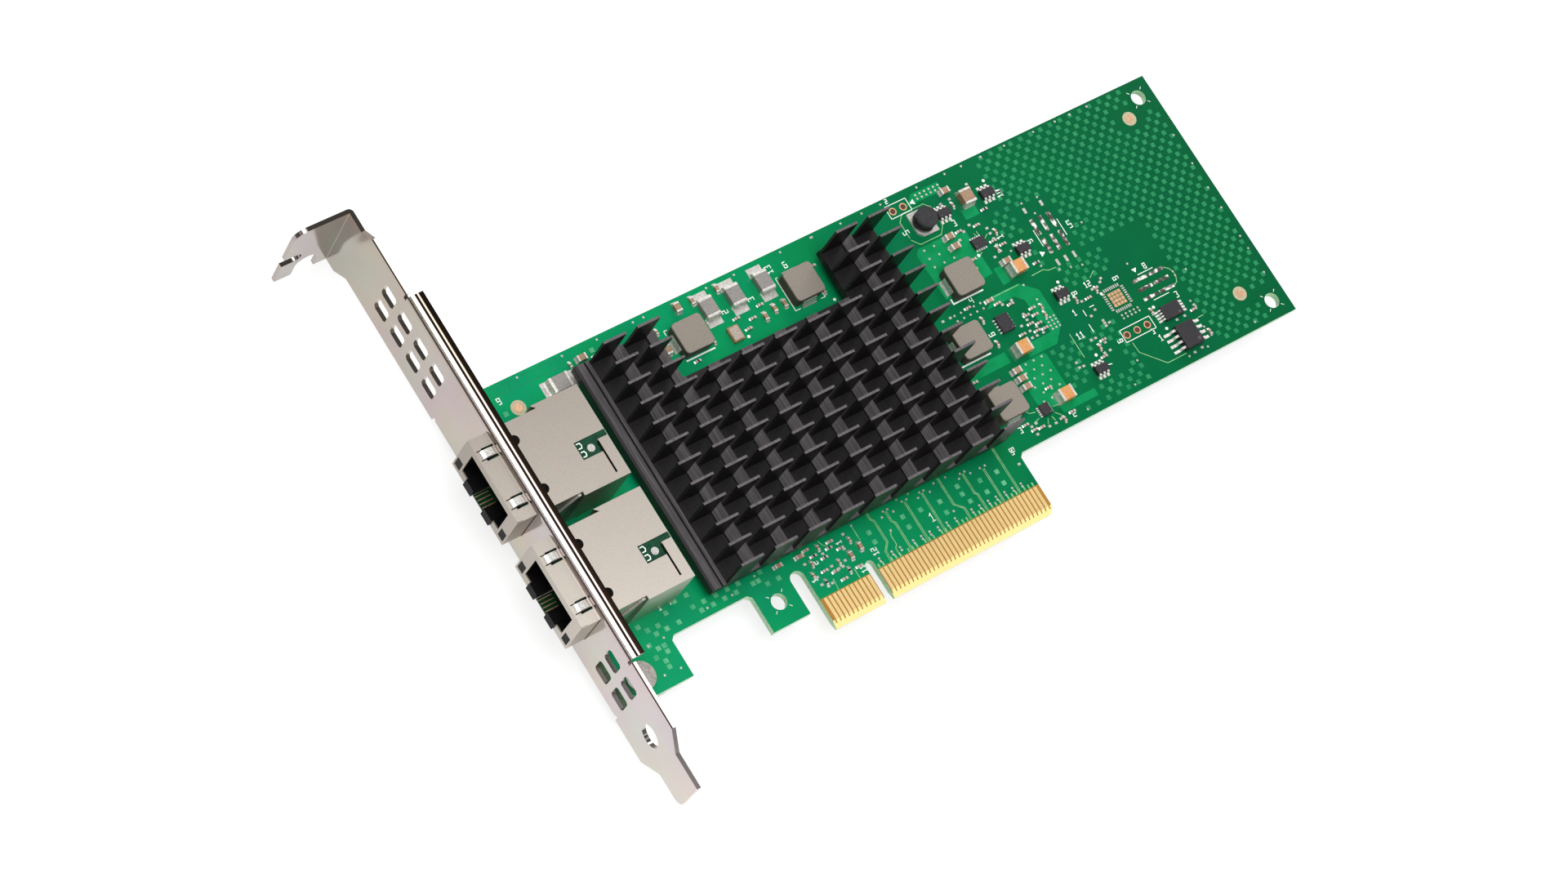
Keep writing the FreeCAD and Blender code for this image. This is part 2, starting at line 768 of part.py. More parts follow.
def jack_shield(label, middle):
    """tin-plated steel can: front face, roof, two sides, a stepped rear and a nose floor"""
    item = body(label)
    low, high = around(middle, "jack_rear_wide")
    box_pad(item, JACK_STEP, JACK_BACK, low, high, "0", "jack_high")
    low, high = around(middle, "nose_wide")
    box_pad(item, NOSE_FOOT, JACK_STEP, low, high, "0", "jack_high")
    box_pad(item, NOSE_FRONT, NOSE_FOOT, low, high, "nose_low", "jack_high")
    low, high = around(middle, "jack_rear_wide - 2 * shield_thick")
    box_pocket(item, JACK_STEP + " + shield_thick", JACK_BACK + " - shield_thick", low, high,
               "0", GALLERY_TOP)
    low, high = around(middle, "nose_wide - 2 * shield_thick")
    box_pocket(item, NOSE_FOOT, JACK_STEP + " + shield_thick", low, high, "0", GALLERY_TOP)
    box_pocket(item, NOSE_FRONT + " + shield_thick", NOSE_FOOT, low, high,
               "nose_low + shield_thick", GALLERY_TOP)
    face = sketch(item, "YZ_Plane", NOSE_FRONT)
    low, high = around(middle, "port_wide")
    lip_low, lip_high = around(middle, "latch_wide + 2 * lip_wide")
    polygon(face, [
        (low, "port_low"),
        (lip_low, "port_low"),
        (lip_low, "nose_low - shield_thick"),
        (lip_high, "nose_low - shield_thick"),
        (lip_high, "port_low"),
        (high, "port_low"),
        (high, "port_high"),
        (low, "port_high"),
    ])
    for side in (" - ", " + "):
        centre = middle + side + "light_across / 2"
        low, high = around(centre, "light_wide")
        rectangle(face, low, "light_low", high, "light_high")
    pocket(item, face, "shield_thick", backwards=True)
    low, high = around(middle, "latch_wide + 2 * lip_wide")
    box_pocket(item, NOSE_FRONT, NOSE_FOOT, low, high, "nose_low - shield_thick", "nose_low + shield_thick")
    for spread in ("roof_slot_near", "roof_slot_far"):
        for side in (" - ", " + "):
            low, high = around(middle + side + spread + " / 2", "roof_slot")
            box_pocket(item, NOSE_FRONT + " + roof_slot_in", NOSE_FRONT + " + roof_slot_in + roof_slot_long",
                       low, high, GALLERY_TOP, "jack_high")
    low, high = around(middle + " - window_side", "window_wide")
    box_pocket(item, NOSE_FRONT + " + window_in", NOSE_FRONT + " + window_in + window_long",
               low, high, GALLERY_TOP, "jack_high")
    return item


def jack_housing(label, middle):
    """black moulding round the plug's cavity, with the latch slot and two lips below it"""
    item = body(label)
    low, high = around(middle, "nose_wide - 2 * shield_thick - 2 * jack_fit")
    front = NOSE_FRONT + " + shield_thick"
    rear = JACK_STEP + " - jack_fit"
    box_pad(item, NOSE_FOOT + " + jack_fit", rear, low, high, "0", GALLERY_LOW)
    box_pad(item, front, NOSE_FOOT + " + jack_fit", low, high, "nose_low + shield_thick", GALLERY_LOW)
    for side in (" - ", " + "):
        low, high = around(middle + side + "(latch_wide + lip_wide) / 2", "lip_wide - 2 * jack_fit")
        box_pad(item, NOSE_FRONT + " - lip_out", NOSE_FOOT, low, high, "nose_low", "lip_high")
    cavity = sketch(item, "YZ_Plane", NOSE_FRONT + " - lip_out")
    low, high = around(middle, "port_wide")
    latch_low, latch_high = around(middle, "latch_wide")
    step_low, step_high = around(middle, "latch_wide + 2 * lip_wide")
    polygon(cavity, [
        (low, "port_low"),
        (step_low, "port_low"),
        (step_low, "lip_high"),
        (latch_low, "lip_high"),
        (latch_low, "nose_low - shield_thick"),
        (latch_high, "nose_low - shield_thick"),
        (latch_high, "lip_high"),
        (step_high, "lip_high"),
        (step_high, "port_low"),
        (high, "port_low"),
        (high, "port_high"),
        (low, "port_high"),
    ])
    pocket(item, cavity, "latch_deep + lip_out", backwards=True)
    cavity = sketch(item, "YZ_Plane", front)
    rectangle(cavity, low, "lip_high", high, "port_high")
    for side in (" - ", " + "):
        pipe_low, pipe_high = around(middle + side + "light_across / 2", "light_wide")
        rectangle(cavity, pipe_low, "light_low", pipe_high, "light_high")
    pocket(item, cavity, "light_long", backwards=True)
    low, high = around(middle, "springs * spring_pitch + jack_fit * 4")
    box_pocket(item, NOSE_FRONT + " + spring_front - jack_fit * 2",
               NOSE_FRONT + " + light_long", low, high, "port_high - spring_room", GALLERY_LOW)
    return item


def jack_light_pipes(label, middle):
    item = body(label)
    for side in (" - ", " + "):
        low, high = around(middle + side + "light_across / 2", "light_wide - 2 * jack_fit")
        box_pad(item, NOSE_FRONT + " + jack_fit", NOSE_FRONT + " + shield_thick + light_long", low, high,
                "light_low + jack_fit", "light_high - jack_fit")
    return item


def jack_gallery(label, middle):
    """small board under the can's roof that carries the contact springs"""
    item = body(label)
    low, high = around(middle, "gallery_wide")
    box_pad(item, NOSE_FRONT + " + gallery_front", JACK_BACK + " - gallery_rear", low, high,
            GALLERY_LOW, GALLERY_TOP)
    return item


def jack_contacts(label, middle):
    """eight spring wires, soldered under the inner board and bent back into the port"""
    item = body(label)
    start = middle + " - (springs - 1) / 2 * spring_pitch"
    wire = sketch(item, "XZ_Plane", "0 - (" + start + ") - spring_wide / 2")
    tip = NOSE_FRONT + " + spring_front"
    back = NOSE_FRONT + " + spring_front + spring_long"
    polygon(wire, [
        (back, GALLERY_LOW),
        (tip + " + spring_thick", GALLERY_LOW),
        (tip, GALLERY_LOW + " - spring_thick"),
        (back, "spring_tip"),
        (back, "spring_tip + spring_thick"),
        (tip + " + spring_thick * 2", GALLERY_LOW + " - spring_thick"),
        (back, GALLERY_LOW + " - spring_thick"),
    ])
    spring = pad(item, wire, "spring_wide")
    pattern(item, spring, [("Y_Axis", "spring_pitch", "springs")])
    return item


def jack_magnetics(label, middle):
    """potted transformer block behind the port, under the inner board"""
    item = body(label)
    low, high = around(middle, "jack_rear_wide - 2 * shield_thick - 2 * jack_fit")
    box_pad(item, JACK_STEP + " + shield_thick + jack_fit", JACK_BACK + " - shield_thick - jack_fit",
            low, high, "magnetics_low", GALLERY_LOW)
    low, high = around(middle, "jack_rear_wide / 2")
    box_pad(item, JACK_STEP + " + magnetics_inset", JACK_BACK + " - magnetics_inset",
            low, high, "0", "magnetics_low")
    return item


for place, middle in JACKS.items():
    jack_shield("jack_shield_" + place, middle)
    jack_housing("jack_housing_" + place, middle)
    jack_light_pipes("jack_light_pipes_" + place, middle)
    jack_gallery("jack_inner_board_" + place, middle)
    jack_contacts("jack_contacts_" + place, middle)
    jack_magnetics("jack_magnetics_" + place, middle)


# ---------------------------------------------------------------- heat sink

# Extruded comb of fins along X, cut across by a gang of saws, so that each ridge becomes
# a row of short fins; the saws stop just above the comb's floor and leave raised strips.
# A bay in the long edge clears the coils of the first power stage.

SINK_LEFT = "0 - fin_start - sink_margin"
SINK_RIGHT = "(fin_columns - 1) * fin_column_pitch + fin_long - fin_start"
SINK_HIGH = "fin_low + (fin_rows - 1) * fin_row_pitch + fin_thick + sink_rear_margin"
BAY_LEFT = "bay_first * fin_column_pitch - fin_start - bay_side"
BAY_RIGHT = "(bay_first + bay_columns) * fin_column_pitch - fin_start"
BAY_LOW = "fin_low + (fin_rows - bay_rows - 1) * fin_row_pitch + fin_thick + bay_lip"
STRIP_WIDE = "fin_column_pitch - fin_long"

heat_sink = body("heat_sink")
base = sketch(heat_sink, "XY_Plane", "sink_low")
polygon(base, [
    (SINK_LEFT, "fin_low"),
    (SINK_RIGHT, "fin_low"),
    (SINK_RIGHT, SINK_HIGH),
    (BAY_RIGHT, SINK_HIGH),
    (BAY_RIGHT, BAY_LOW),
    (BAY_LEFT, BAY_LOW),
    (BAY_LEFT, SINK_HIGH),
    (SINK_LEFT, SINK_HIGH),
])
pad(heat_sink, base, "sink_floor - sink_low")
margin = sketch(heat_sink, "XY_Plane", "sink_floor")
rectangle(margin, SINK_LEFT, "fin_low", SINK_LEFT + " + groove_in", SINK_HIGH)
rectangle(margin, SINK_LEFT + " + groove_in + groove_wide", "fin_low", "0 - fin_start", SINK_HIGH)
pad(heat_sink, margin, "strip_top - sink_floor")


def strips(first, count, high):
    drawing = sketch(heat_sink, "XY_Plane", "sink_floor")
    left = "(" + first + ") * fin_column_pitch + fin_long - fin_start"
    rectangle(drawing, left, "fin_low", left + " + " + STRIP_WIDE, high)
    strip = pad(heat_sink, drawing, "strip_top - sink_floor")
    pattern(heat_sink, strip, [("X_Axis", "fin_column_pitch", count)])


strips("0", "bay_first - 1", SINK_HIGH)
strips("bay_first", "bay_columns - 1", BAY_LOW)
strips("bay_first + bay_columns", "fin_columns - bay_first - bay_columns - 1", SINK_HIGH)
edge_strips = sketch(heat_sink, "XY_Plane", "sink_floor")
bay_strip = "(bay_first - 1) * fin_column_pitch + fin_long - fin_start"
rectangle(edge_strips, bay_strip, "fin_low", bay_strip + " + " + STRIP_WIDE, BAY_LOW)
bay_strip = "(bay_first + bay_columns - 1) * fin_column_pitch + fin_long - fin_start"
rectangle(edge_strips, bay_strip, "fin_low", bay_strip + " + " + STRIP_WIDE, BAY_LOW)
rectangle(edge_strips, "(bay_first - 1) * fin_column_pitch + fin_long - fin_start", BAY_LOW, BAY_LEFT, SINK_HIGH)
pad(heat_sink, edge_strips, "strip_top - sink_floor")


def fins(first_column, columns, first_row, rows):
    drawing = sketch(heat_sink, "XY_Plane", "sink_floor")
    left = "(" + first_column + ") * fin_column_pitch - fin_start"
    low = "(" + first_row + ") * fin_row_pitch + fin_low"
    rectangle(drawing, left, low, left + " + fin_long", low + " + fin_thick")
    fin = pad(heat_sink, drawing, "fin_top - sink_floor")
    pattern(heat_sink, fin, [("X_Axis", "fin_column_pitch", columns), ("Y_Axis", "fin_row_pitch", rows)])


fins("0", "fin_columns", "0", "fin_rows - bay_rows")
fins("0", "bay_first", "fin_rows - bay_rows", "bay_rows")
fins("bay_first + bay_columns", "fin_columns - bay_first - bay_columns", "fin_rows - bay_rows", "bay_rows")

LID_TOP = "chip_base + lid_thick"
thermal_pad = body("thermal_pad")
low_x, high_x = around("chip_middle_x", "lid_across - 2 * pad_inset")
low_y, high_y = around("chip_middle_y", "lid_across - 2 * pad_inset")
box_pad(thermal_pad, low_x, high_x, low_y, high_y, LID_TOP, "sink_low")

controller_base = body("controller_base")
low_x, high_x = around("chip_middle_x", "chip_across")
low_y, high_y = around("chip_middle_y", "chip_across")
box_pad(controller_base, low_x, high_x, low_y, high_y, "0", "chip_base")

controller_lid = body("controller_lid")
low_x, high_x = around("chip_middle_x", "lid_across")
low_y, high_y = around("chip_middle_y", "lid_across")
box_pad(controller_lid, low_x, high_x, low_y, high_y, "chip_base", LID_TOP)

# six-sided threaded spacers pressed against the sink, measured across their flats
HEX_POINT = "spacer_wide / 2 * %.6f" % (1 / math.cos(math.pi / 6))
heat_sink_spacers = body("heat_sink_spacers")
rings = sketch(heat_sink_spacers, "XY_Plane")
for fixing_x, fixing_y in FIXINGS:
    polygon(rings, [
        (fixing_x + " + " + HEX_POINT, fixing_y),
        (fixing_x + " + " + HEX_POINT + " / 2", fixing_y + " + spacer_wide / 2"),
        (fixing_x + " - " + HEX_POINT + " / 2", fixing_y + " + spacer_wide / 2"),
        (fixing_x + " - " + HEX_POINT, fixing_y),
        (fixing_x + " - " + HEX_POINT + " / 2", fixing_y + " - spacer_wide / 2"),
        (fixing_x + " + " + HEX_POINT + " / 2", fixing_y + " - spacer_wide / 2"),
    ])
    circle(rings, fixing_x, fixing_y, half("fixing_shank"))
pad(heat_sink_spacers, rings, "sink_low")

turned_screws("heat_sink_screws", FIXINGS, "fixing_shank", "fixing_head",
              BOARD_BACK + " - fixing_head_high", BOARD_BACK, "sink_low")


# ---------------------------------------------------------------- power parts

def power_coil(label, across, up, clips_along):
    """moulded power coil: a bevelled block of pressed powder on two folded end clips"""
    item = body(label)
    low_x, high_x = around(across, "coil_across")
    low_y, high_y = around(up, "coil_across")
    box_pad(item, low_x, high_x, low_y, high_y, "coil_pad_high", "coil_high")
    top = value("coil_high")
    chamfer(item, "coil_bevel", [
        (None, value(low_y), top),
        (None, value(high_y), top),
        (value(low_x), None, top),
        (value(high_x), None, top),
    ])
    if clips_along == "X":
        low_y, high_y = around(up, "coil_pad_wide")
        low_x, high_x = around(across, "coil_across + 2 * coil_pad_out")
    else:
        low_x, high_x = around(across, "coil_pad_wide")
        low_y, high_y = around(up, "coil_across + 2 * coil_pad_out")
    box_pad(item, low_x, high_x, low_y, high_y, "0", "coil_pad_high")


COILS = [
    ("-7.0", "60.6", "X"),
    ("18.7", "60.4", "Y"),
    ("49.0", "47.7", "X"),
    ("42.8", "36.0", "X"),
    ("42.3", "22.35", "Y"),
]
for number, place in enumerate(COILS):
    power_coil("power_coil_%d" % (number + 1), *place)

DRUM = ("49.2", "61.3")
drum_base = body("drum_coil_base")
low_x, high_x = around(DRUM[0], "drum_base_wide")
low_y, high_y = around(DRUM[1], "drum_base_long")
box_pad(drum_base, low_x, high_x, low_y, high_y, "0", "drum_base_high")

drum_core = body("drum_coil_core")
reel = sketch(drum_core, "XZ_Plane", "0 - " + DRUM[1])
TOP = "drum_base_high + drum_high"
polygon(reel, [
    (DRUM[0], "drum_base_high"),
    (DRUM[0] + " + drum_wide / 2", "drum_base_high"),
    (DRUM[0] + " + drum_wide / 2", TOP),
    (DRUM[0], TOP),
])
revolve(drum_core, reel, DRUM[0], "drum_base_high", TOP)


# ---------------------------------------------------------------- small parts

def blocks(label, case, places):
    """a group of like chip parts, each a block of its case size; turned ones lie along Y"""
    item = body(label)
    drawing = sketch(item, "XY_Plane")
    for across, up, turned in places:
        long_side, short_side = case + "_long", case + "_wide"
        if turned:
            long_side, short_side = short_side, long_side
        left, right = around(str(across), long_side)
        low, high = around(str(up), short_side)
        rectangle(drawing, left, low, right, high)
    pad(item, drawing, case + "_high")
    return item


blocks("ferrite_beads", "bead", [
    (-0.4, 64.2, True), (5.7, 64.2, True), (12.4, 64.2, True), (-34.5, 63.5, False),
])
blocks("large_capacitors", "large_cap", [
    (61.4, 45.1, False), (52.5, 30.6, False), (54.9, 18.8, False), (60.1, 61.9, True),
])
blocks("middle_capacitors", "middle_cap", [
    (-28.0, 66.1, False), (57.0, 65.0, False), (52.3, 54.2, False), (52.3, 56.4, False),
    (48.8, 27.2, False), (48.8, 25.4, False), (48.8, 23.6, False), (60.2, 47.2, False),
    (-5.8, 66.9, True), (-12.2, 60.4, True),
])
blocks("small_capacitors", "small_part", [
    (-2.3, 66.9, True), (3.5, 67.0, True), (9.2, 58.1, True), (11.7, 58.8, True), (14.1, 58.8, True),
    (-16.3, 15.2, False), (-11.6, 14.9, False), (-2.4, 10.7, True), (0.2, 11.4, True), (52.3, 41.8, False),
])
blocks("small_resistors", "tiny_part", [
    (-7.8, 56.1, False), (-9.0, 13.8, False), (-7.2, 12.6, False), (-5.4, 13.8, False),
    (-4.2, 8.4, True), (-9.6, 8.4, True), (62.6, 58.4, False), (66.0, 44.4, False),
])
blocks("crystal", "crystal", [(1.8, 57.6, True)])
blocks("flat_chips", "flat_chip", [(57.2, 52.8, False), (52.3, 36.5, True), (49.5, 18.1, True)])


def gull_chip(label, case, count, rows_along, places):
    """moulded chips on bent leads; the two rows of leads run along X or along Y"""
    item = body(label)
    knee = "chip_stand + " + case + "_high / 2"
    for across, up in places:
        if rows_along == "X":
            low_x, high_x = around(across, case + "_long")
            low_y, high_y = around(up, case + "_wide")
            edges, row_middle, plane, turn = (low_y, high_y), across, "YZ_Plane", ""
        else:
            low_x, high_x = around(across, case + "_wide")
            low_y, high_y = around(up, case + "_long")
            edges, row_middle, plane, turn = (low_x, high_x), up, "XZ_Plane", "0 - "
        box_pad(item, low_x, high_x, low_y, high_y, "chip_stand", "chip_stand + " + case + "_high")
        first = "(" + row_middle + " - (" + str(count) + " - 1) / 2 * " + case + "_pitch)"
        legs = sketch(item, plane, turn + first + " - " + case + "_wire / 2")
        for sign, root in zip((" - ", " + "), edges):
            foot = root + sign + case + "_reach"
            polygon(legs, [
                (root, knee),
                (root, knee + " + chip_lead_thick"),
                (foot, "chip_lead_thick"),
                (foot, "0"),
            ])
        leads = pad(item, legs, case + "_wire")
        pattern(item, leads, [(rows_along + "_Axis", case + "_pitch", str(count))])


gull_chip("six_lead_chips", "six_lead", 3, "X", [
    ("64.8", "61.0"), ("64.8", "48.0"), ("66.6", "36.6"), ("65.0", "20.1"), ("54.0", "61.1"),
])
gull_chip("memory_chip_upper", "slim_chip", 4, "Y", [("85.7", "23.95")])
gull_chip("memory_chip_lower", "wide_chip", 4, "Y", [("85.7", "18.1")])


# ---------------------------------------------------------------- check and write

doc.recompute()
for item in doc.Objects:
    if "Invalid" in item.State or "Error" in item.State:
        raise RuntimeError(item.Label + " failed")
os.makedirs("parts", exist_ok=True)
for item in nodes:
    if item.Shape.isNull() or not item.Shape.isValid():
        raise RuntimeError(item.Label + " has no valid shape")
for item in nodes:
    item.Shape.exportStep("parts/" + item.Label + ".step")
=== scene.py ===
import bmesh
import bpy
import math
from mathutils import Matrix, Vector


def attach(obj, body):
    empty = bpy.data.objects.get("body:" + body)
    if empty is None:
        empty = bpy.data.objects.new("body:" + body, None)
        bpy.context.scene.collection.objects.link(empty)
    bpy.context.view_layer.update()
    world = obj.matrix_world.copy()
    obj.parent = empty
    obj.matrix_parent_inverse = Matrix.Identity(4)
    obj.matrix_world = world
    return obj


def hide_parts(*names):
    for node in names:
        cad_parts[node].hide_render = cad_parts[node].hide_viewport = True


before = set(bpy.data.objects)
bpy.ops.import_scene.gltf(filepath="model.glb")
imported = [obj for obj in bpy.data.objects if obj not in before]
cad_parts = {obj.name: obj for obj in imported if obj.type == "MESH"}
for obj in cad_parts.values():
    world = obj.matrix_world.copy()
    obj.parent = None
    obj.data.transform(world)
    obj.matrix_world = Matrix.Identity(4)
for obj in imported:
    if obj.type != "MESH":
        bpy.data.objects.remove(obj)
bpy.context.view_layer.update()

# ---- Camera
# A long lens looks steeply down on the component side from beyond the bracket,
# so that the ports, the fin field and the gold fingers all show.
MM = 0.001
camera = bpy.data.objects.new("camera", bpy.data.cameras.new("camera"))
camera.data.lens = 92.92
camera.location = Vector((-349.75, -95.63, 646.10)) * MM
camera.rotation_euler = [math.radians(angle) for angle in (23.874, -18.630, -33.560)]
bpy.context.scene.collection.objects.link(camera)
bpy.context.scene.camera = camera
bpy.context.scene.view_settings.view_transform = "Standard"


# ---- Studio
# A white sheet under the card, large soft lamps high behind and beside it, and a dim
# room above, which is what gives bright plating its dark bands.
def linear(code):
    """an sRGB hex colour as linear red, green, blue and alpha"""
    parts = [int(code[place:place + 2], 16) / 255 for place in (1, 3, 5)]
    return [part / 12.92 if part <= 0.04045 else ((part + 0.055) / 1.055) ** 2.4 for part in parts] + [1.0]


def node(tree, kind, settings=(), links=()):
    """adds a node, or takes one that is there; sets properties, sockets and ramp stops, and links inputs"""
    made = tree.nodes.new(kind) if isinstance(kind, str) else kind
    for name, amount in dict(settings).items():
        if name == "stops":
            ramp = made.color_ramp
            while len(ramp.elements) < len(amount):
                ramp.elements.new(1.0)
            for stop, (position, colour) in zip(ramp.elements, amount):
                stop.position = position
                stop.color = linear(colour)
        elif isinstance(name, str) and hasattr(made, name):
            setattr(made, name, amount)
        else:
            made.inputs[name].default_value = amount
    for name, (source, output) in dict(links).items():
        tree.links.new(source.outputs[output], made.inputs[name])
    return made


def white_to_the_eye(tree, *more):
    """1 for rays from the camera, through clear plastic and of any other kind named"""
    rays = node(tree, "ShaderNodeLightPath")
    seen = node(tree, "ShaderNodeMath", {"operation": "MAXIMUM"},
                {0: (rays, "Is Camera Ray"), 1: (rays, "Is Transmission Ray")})
    for kind in more:
        seen = node(tree, "ShaderNodeMath", {"operation": "MAXIMUM"}, {0: (seen, 0), 1: (rays, kind)})
    return seen


room = bpy.data.worlds.new("room")
bpy.context.scene.world = room
room.use_nodes = True
tree = room.node_tree
where = node(tree, "ShaderNodeTexCoord")
height = node(tree, "ShaderNodeSeparateXYZ", links={0: (where, "Generated")})
walls = node(tree, "ShaderNodeValToRGB", {"stops": [
    (0.0, "#77746f"), (0.66, "#6a6764"), (0.69, "#efedea"), (0.76, "#efedea"), (0.79, "#2a2827"),
    (0.90, "#2a2827"),
    (0.925, "#ffffff"), (0.982, "#ffffff"), (0.992, "#6f6c69"),
]}, {0: (height, "Z")})
seen = white_to_the_eye(tree)
mixed = node(tree, "ShaderNodeMix", {"data_type": "RGBA", 7: (1, 1, 1, 1)}, {0: (seen, 0), 6: (walls, 0)})
node(tree, tree.nodes["Background"], {"Strength": 1.0}, {"Color": (mixed, 2)})

FLOOR_Z = -7.2
bpy.ops.mesh.primitive_plane_add(size=6, location=(0.02, 0.04, FLOOR_Z * MM))
floor = bpy.context.object
floor.name = "floor"
paper = bpy.data.materials.new("white_paper_sweep")
paper.use_nodes = True
tree = paper.node_tree
seen = white_to_the_eye(tree, "Is Glossy Ray")
lit = node(tree, "ShaderNodeBsdfDiffuse", {"Color": linear("#8f8f8f")})
plain = node(tree, "ShaderNodeBsdfDiffuse", {"Color": linear("#e6e6e6")})
glow = node(tree, "ShaderNodeEmission", {"Color": (1, 1, 1, 1), "Strength": 0.78})
bright = node(tree, "ShaderNodeAddShader", links={0: (lit, 0), 1: (glow, 0)})
choice = node(tree, "ShaderNodeMixShader", links={0: (seen, 0), 1: (plain, 0), 2: (bright, 0)})
node(tree, tree.nodes["Material Output"], links={"Surface": (choice, 0)})
floor.data.materials.append(paper)

for name, place, size, power in (
    ("overhead_softbox", (-0.2, -0.02, 1.29), (1.1, 0.9), 14.0),
    ("key_softbox", (0.85, 0.85, 0.75), (0.7, 0.7), 7.0),
    ("front_fill", (-0.3, -1.3, 0.6), (0.9, 0.5), 3.5),
):
    lamp = bpy.data.objects.new(name, bpy.data.lights.new(name, "AREA"))
    lamp.data.shape = "RECTANGLE"
    lamp.data.size, lamp.data.size_y = size
    lamp.data.energy = power
    lamp.location = place
    lamp.rotation_euler = (Vector(place) - Vector((0.02, 0.04, 0))).to_track_quat("Z", "Y").to_euler()
    bpy.context.scene.collection.objects.link(lamp)


# ---- Circuit board
# Glass-fibre laminate, routed to outline, under a printed green solder mask; the routed edges
# stay pale. The mask is coloured light at the bracket and deep at the far end.
def finish(name):
    """starts a material; gives it, its node tree and its shader"""
    made = bpy.data.materials.new(name)
    made.use_nodes = True
    return made, made.node_tree, made.node_tree.nodes["Principled BSDF"]


def dress(name, material):
    """gives a solid of the frame its finish"""
    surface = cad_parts[name].data
    surface.materials.clear()
    surface.materials.append(material)


def grains(tree, where, size, detail):
    """noise whose grains are of a size in millimetres"""
    return node(tree, "ShaderNodeTexNoise", {"Scale": 1 / (size * MM), "Detail": detail},
                {"Vector": (where, "Object")})


def passes(tree, source, output, level):
    """1 where a value is over a level, else 0"""
    return node(tree, "ShaderNodeMath", {"operation": "GREATER_THAN", 1: level}, {0: (source, output)})


def both(tree, first, second, operation="MULTIPLY"):
    """joins two choices"""
    return node(tree, "ShaderNodeMath", {"operation": operation}, {0: (first, 0), 1: (second, 0)})


# WEAVE is the pitch of the glass threads; FINGER_SHIFT puts the brown gaps between the fingers
WEAVE = 0.45
FINGER_SHIFT = 0.85
solder_mask, tree, shader = finish("solder_mask_on_laminate")
where = node(tree, "ShaderNodeTexCoord")
along = node(tree, "ShaderNodeSeparateXYZ", links={0: (where, "Object")})
facing = node(tree, "ShaderNodeSeparateXYZ", links={0: (where, "Normal")})
flat = node(tree, "ShaderNodeMath", {"operation": "ABSOLUTE"}, {0: (facing, "Z")})
is_flat = passes(tree, flat, 0, 0.975)
is_bevel = passes(tree, flat, 0, 0.5)
above_fingers = passes(tree, along, "Y", 6.15 * MM)
past_tongue = node(tree, "ShaderNodeMath", {"operation": "LESS_THAN", 1: -13.0 * MM}, {0: (along, "X")})
covered = both(tree, above_fingers, past_tongue, "MAXIMUM")
masked = both(tree, is_flat, covered)
reach = node(tree, "ShaderNodeMapRange", {"From Min": -0.056, "From Max": 0.111}, {0: (along, "X")})
ground = node(tree, "ShaderNodeValToRGB", {"stops": [
    (0.0, "#0a9461"), (0.40, "#078b55"), (0.62, "#046a3f"), (1.0, "#035b34"),
]}, {0: (reach, 0)})
cloud = grains(tree, where, 9, 3.0)
shaded = node(tree, "ShaderNodeMix", {"data_type": "RGBA", "blend_type": "OVERLAY", 0: 0.2},
              {6: (ground, 0), 7: (cloud, "Color")})
fibre = grains(tree, where, 0.3, 2.0)
edge = node(tree, "ShaderNodeValToRGB", {"stops": [(0.3, "#8fd0a4"), (0.7, "#d9efc9")]}, {0: (fibre, 0)})
strip = node(tree, "ShaderNodeMath", {"operation": "FRACT"},
             {0: (node(tree, "ShaderNodeMath", {"operation": "MULTIPLY_ADD", 1: 1000.0, 2: FINGER_SHIFT},
                       {0: (along, "X")}), 0)})
between = passes(tree, strip, 0, 0.7)
from_edge = passes(tree, along, "Y", 0.95 * MM)
gap = both(tree, between, from_edge)
shelf = both(tree, gap, is_flat, "MAXIMUM")
bevel = node(tree, "ShaderNodeMix", {"data_type": "RGBA", 6: linear("#ffe69d"), 7: linear("#ab7d38")},
             {0: (shelf, 0)})
sides = node(tree, "ShaderNodeMix", {"data_type": "RGBA"}, {0: (is_bevel, 0), 6: (edge, 0), 7: (bevel, 2)})
colour = node(tree, "ShaderNodeMix", {"data_type": "RGBA"}, {0: (masked, 0), 6: (sides, 2), 7: (shaded, 2)})
threads = node(tree, "ShaderNodeTexWave", {"Scale": 1 / (WEAVE * MM) / 6, "Distortion": 0.6},
               {"Vector": (where, "Object")})
relief = node(tree, "ShaderNodeBump", {"Strength": 0.08, "Distance": 0.02 * MM},
              {"Height": (threads, "Fac")})
node(tree, shader, {"Roughness": 0.17, "IOR": 1.5, "Specular IOR Level": 0.25},
     {"Base Color": (colour, 2), "Normal": (relief, 0)})
dress("circuit_board", solder_mask)


# ---- Copper under the mask
# Etched copper shapes lie under the mask as a slight step and a paler green: the pours of
# the power stages, pairs of traces up from the fingers, and squares that even out the etching.
def skin(shape, rings):
    """closes a stack of rings of points, in millimetres, into a solid"""
    rings = [[shape.verts.new(point) for point in ring] for ring in rings]
    shape.faces.new(rings[0][::-1])
    shape.faces.new(rings[-1])
    for lower, upper in zip(rings, rings[1:]):
        for index in range(len(lower)):
            after = (index + 1) % len(lower)
            shape.faces.new((lower[index], lower[after], upper[after], upper[index]))


def prism(shape, outline, low, high):
    """a closed upright prism over an outline of (x, y) points"""
    skin(shape, [[(x, y, z) for x, y in outline] for z in (low, high)])


def block(shape, left, right, low, high, bottom, top):
    prism(shape, [(left, low), (right, low), (right, high), (left, high)], bottom, top)


def disc(shape, x, y, radius, bottom, top, sides=16):
    turns = [2 * math.pi * step / sides for step in range(sides)]
    prism(shape, [(x + radius * math.cos(turn), y + radius * math.sin(turn)) for turn in turns], bottom,
          top)


